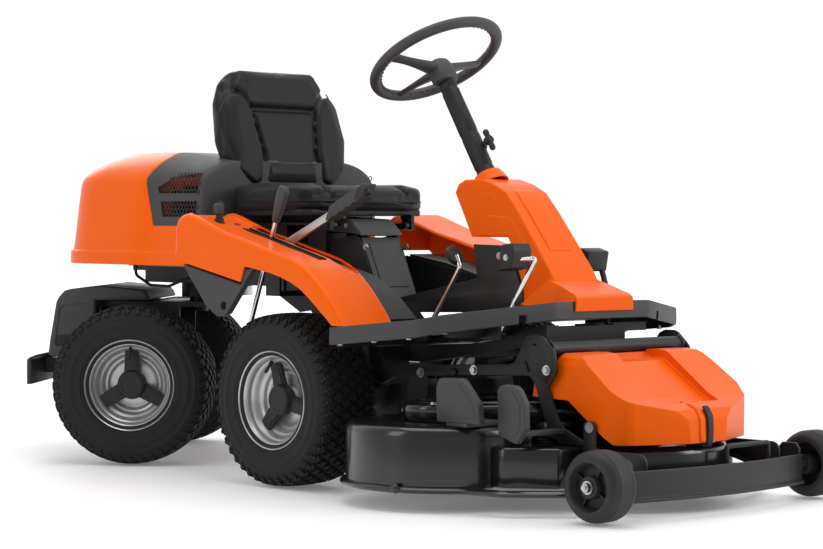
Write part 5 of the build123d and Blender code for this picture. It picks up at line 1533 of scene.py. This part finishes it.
def addFrame():
    arm = [(-120, 246), (-120, 280), (-232, 290), (-580, 309), (-592, 313), (-600, 324), (-618, 358),
           (-626, 368), (-642, 375), (-670, 375), (-682, 370), (-706, 348), (-713, 340), (-720, 302),
           (-716, 292), (-694, 262), (-729, 190), (-739, 178), (-800, 152), (-850, 136), (-955, 136),
           (-966, 132), (-974, 120), (-974, 60), (-955, 60), (-845, 93), (-798, 128), (-796, 142),
           (-726, 142), (-690, 180), (-655, 268), (-640, 285), (-410, 276), (-215, 262), (-180, 246)]
    inner = [(-600, 316), (-622, 360), (-640, 368), (-672, 368), (-704, 340), (-712, 302), (-690, 272),
             (-650, 290)]
    arms = []
    for side in (-1, 1):
        arms.append(placed(arm, "x", side * 228, side * 234, round=1.2))
        arms.append(placed(inner, "x", side * 226, side * 235.2, round=1))
        arms.append(placed([(-345, 250), (-345, 270), (-315, 270), (-315, 250)], "x", side * 219, side * 227,
                           round=1))
        arms.append(placed([(-798, 120), (-832, 120), (-832, 188), (-824, 196), (-806, 196), (-798, 188)],
                           "x", side * 228, side * 234.4, round=1.2))
        arms.append(placed([(-840, 104), (-960, 74), (-960, 66), (-840, 96)], "x", side * 216, side * 229,
                           round=1))
    tube = bmesh.new()
    lathe(tube, [(0, -227), (17, -227), (17, 227), (0, 227)], at(0, -684, 345), Vector((1, 0, 0)), steps=40)
    lathe(tube, [(17, -226), (21, -226), (21, -219), (17, -217)], at(0, -684, 345), Vector((1, 0, 0)),
          steps=40)
    lathe(tube, [(17, 217), (21, 219), (21, 226), (17, 226)], at(0, -684, 345), Vector((1, 0, 0)), steps=40)
    bar = placed([(-345, 262), (-345, 276), (-315, 276), (-315, 262)], "x", -227, 227, round=2)
    frameShape = addPiece("mowerFrame", joined(*arms, tube, bar), "powderCoat", "deck",
                          ["equipment_frame"], crease=35)
    holes = bmesh.new()
    for y, z, r in ((-655, 352, 6), (-140, 262, 10.1)):
        crossPin(holes, at(0, y, z), r, 600)
    cutWith(frameShape, [tempObject(holes)])
    bm = bmesh.new()
    for side in (-1, 1):
        for y, z in ((-815, 183), (-470, 290), (-300, 276), (-690, 300), (-870, 112)):
            bolt(bm, at(side * 234.2, y, z), Vector((side, 0, 0)), 8, 5.5)
    addPiece("frameBolts", bm, "zincPlate", "deck", crease=35)
    bm = bmesh.new()
    for side in (-1, 1):
        slab(bm, [(-640, 296), (-628, 318), (-620, 316), (-632, 294)], "x", side * 235, side * 239)
        lathe(bm, [(0, 0), (9, 0), (9, 5), (6, 7), (0, 7)], at(side * 234, -410, 282), Vector((side, 0, 0)),
              steps=24)
    addPiece("frameClips", bm, "blackMoulding", "deck", round=0.8)
    # plastic guards beside the frame
    rear = [(-561, 190), (-558, 262), (-562, 278), (-570, 286), (-632, 288), (-640, 284), (-684, 236),
            (-690, 192)]
    rearPanel = [(-574, 204), (-571, 262), (-580, 274), (-628, 276), (-672, 230), (-677, 204)]
    front = [(-704, 168), (-700, 262), (-706, 272), (-718, 278), (-751, 276), (-762, 268), (-780, 240),
             (-782, 186), (-756, 152)]
    frontPanel = [(-716, 180), (-712, 258), (-722, 266), (-748, 264), (-768, 236), (-770, 190), (-752, 166)]
    guards = joined(placed(rear, "x", -445, -425, round=4, segments=3),
                    placed(rearPanel, "x", -446.5, -440, round=1.5),
                    placed(front, "x", -403, -383, round=4, segments=3),
                    placed(frontPanel, "x", -404.5, -398, round=1.5),
                    placed([(-650, 183), (-650, 194), (-588, 194), (-588, 183)], "x", -442, -330, round=2),
                    placed([(-751, 166), (-751, 176), (-721, 176), (-721, 166)], "x", -398, -240, round=2))
    addPiece("sideGuards", guards, "greyMoulding", "deck", ["deck_guards"], crease=35)
    # curved front bar, its brackets, axles and the grab handle
    bm = bmesh.new()
    path = []
    for i in range(25):
        x = 296 - 592 * i / 24
        path.append((x, -980 - 30 * (1 - (x / 296) ** 2), 0))
    section = [(0, 41), (0, 100), (1.5, 105), (6, 106), (8, 104), (8, 50), (14, 45), (14, 40), (12, 39),
               (2, 39)]
    sweepBand(bm, path, [(-out, up) for out, up in section])
    for side in (-1, 1):
        slab(bm, [(-984, 45), (-984, 118), (-974, 130), (-938, 130), (-926, 118), (-926, 60), (-940, 45)],
             "x", side * 288, side * 296)
        slab(bm, [(-984.5, 60), (-984.5, 100), (-974, 100), (-974, 60)], "x", side * 235, side * 294)
    addPiece("frontBar", bm, "powderCoat", "deck", ["front_bumper"], round=0.9, crease=32)
    bm = bmesh.new()
    for side in (-1, 1):
        lathe(bm, [(0, 294), (10, 294), (10, 416), (0, 416)], at(0, -964.5, 78.6), Vector((side, 0, 0)),
              steps=32)
    addPiece("wheelAxles", bm, "blackCasting", "deck", crease=35)
    addRod("grabHandle", [at(*p) for p in ((44, -970, 82), (44, -970, 122), (44, -970, 137), (60, -970, 137),
                                           (178, -970, 137), (194, -970, 137), (194, -970, 122),
                                           (194, -970, 82))], 5.5, "powderCoat", "deck")


addFrame()
print("frame done")


# rear cover and bumper on the bogie
def addTail():
    outer = [(96, 413), (104, 430), (114, 440), (228, 451), (306, 441), (324, 436), (338, 421), (346, 406),
             (363, 300), (366, 264), (240, 264), (240, 411)]
    bm = placed(outer, "x", -190, 190, place=onBogie, round=8, segments=4, above=40)
    cover = addPiece("tailCover", bm, "greyMoulding", "bogie", ["tail_cover"], crease=40)
    inside = [(92, 380), (116, 434), (228, 446), (304, 435), (320, 431), (340, 404), (357, 300), (360, 250),
              (92, 250)]
    cutters = [prism(inside, "x", -184, 184, place=onBogie)]
    for side in (-1, 1):
        cutters.append(prism([(252, 290), (252, 396), (262, 404), (326, 398), (336, 390), (348, 300),
                              (344, 290)], "x", side * 187, side * 196, place=onBogie, round=1))
    cutWith(cover, cutters)
    easeEdges(cover, 1.6, 2, 38)
    lower = placed([(244, 330), (244, 262), (300, 262), (366, 268), (360, 318)], "x", -187, -184,
                   place=onBogie)
    addPiece("tailStep", lower, "greyMoulding", "bogie", round=1)
    web = placed([(227, 268), (227, 392), (230, 392), (230, 268)], "x", -184, 184, place=onBogie, round=0.8)
    addPiece("tailWeb", web, "blackMoulding", "bogie")
    plate = placed([(408, 190), (408, 255), (394, 262), (394, 268), (414, 260), (420, 254), (420, 190)], "x",
                   -200, 200, place=onBogie, round=1.5)
    hitch = placed([(416, 210), (416, 218), (454, 218), (454, 210)], "x", -40, 40, place=onBogie, round=1.5)
    bumper = addPiece("rearBumper", joined(plate, hitch), "powderCoat", "bogie",
                      ["rear_bumper"], crease=35)
    pin = bmesh.new()
    bmesh.ops.create_cone(pin, cap_ends=True, segments=32, radius1=0.008, radius2=0.008, depth=0.06,
                          matrix=Matrix.Translation(onBogie(0, 436, 214)))
    cutWith(bumper, [tempObject(pin)])


addTail()
print("tail done")


# the CAD parts that stay, with their finishes
kept = {
    "powderCoat": ["chassis_frame", "column_tube", "seat_bracket", "bogie_frame", "muffler"],
    "blackCasting": ["front_axle"],
    "castAlloy": ["engine_block", "transaxle"],
    "blackMoulding": ["fuel_tank", "battery"],
    "zincPlate": ["engine_pulley", "blade_right", "blade_left", "blade_front"],
    "wheelRubber": ["harness_cable", "deck_belt"],
}
slotFinish = {"orange_plastic": "orangeShell", "grey_plastic": "greyMoulding",
              "black_plastic": "blackMoulding", "black_steel": "powderCoat", "deck_steel": "deckPaint",
              "wheel_silver": "rimPaint", "tyre_rubber": "tyreRubber", "solid_rubber": "wheelRubber",
              "seat_vinyl": "seatVinyl", "zinc_steel": "zincPlate", "engine_alloy": "castAlloy",
              "axle_iron": "blackCasting"}
slotOf = {part["node"]: part["material_slot"] for part in frame["record"]["subparts"]}
finishOf = {node: name for name, members in kept.items() for node in members}
for name, node in frame["nodes"].items():
    node.data.materials.clear()
    node.data.materials.append(finishes[finishOf.get(name, slotFinish[slotOf[name]])])
print("CAD parts finished")
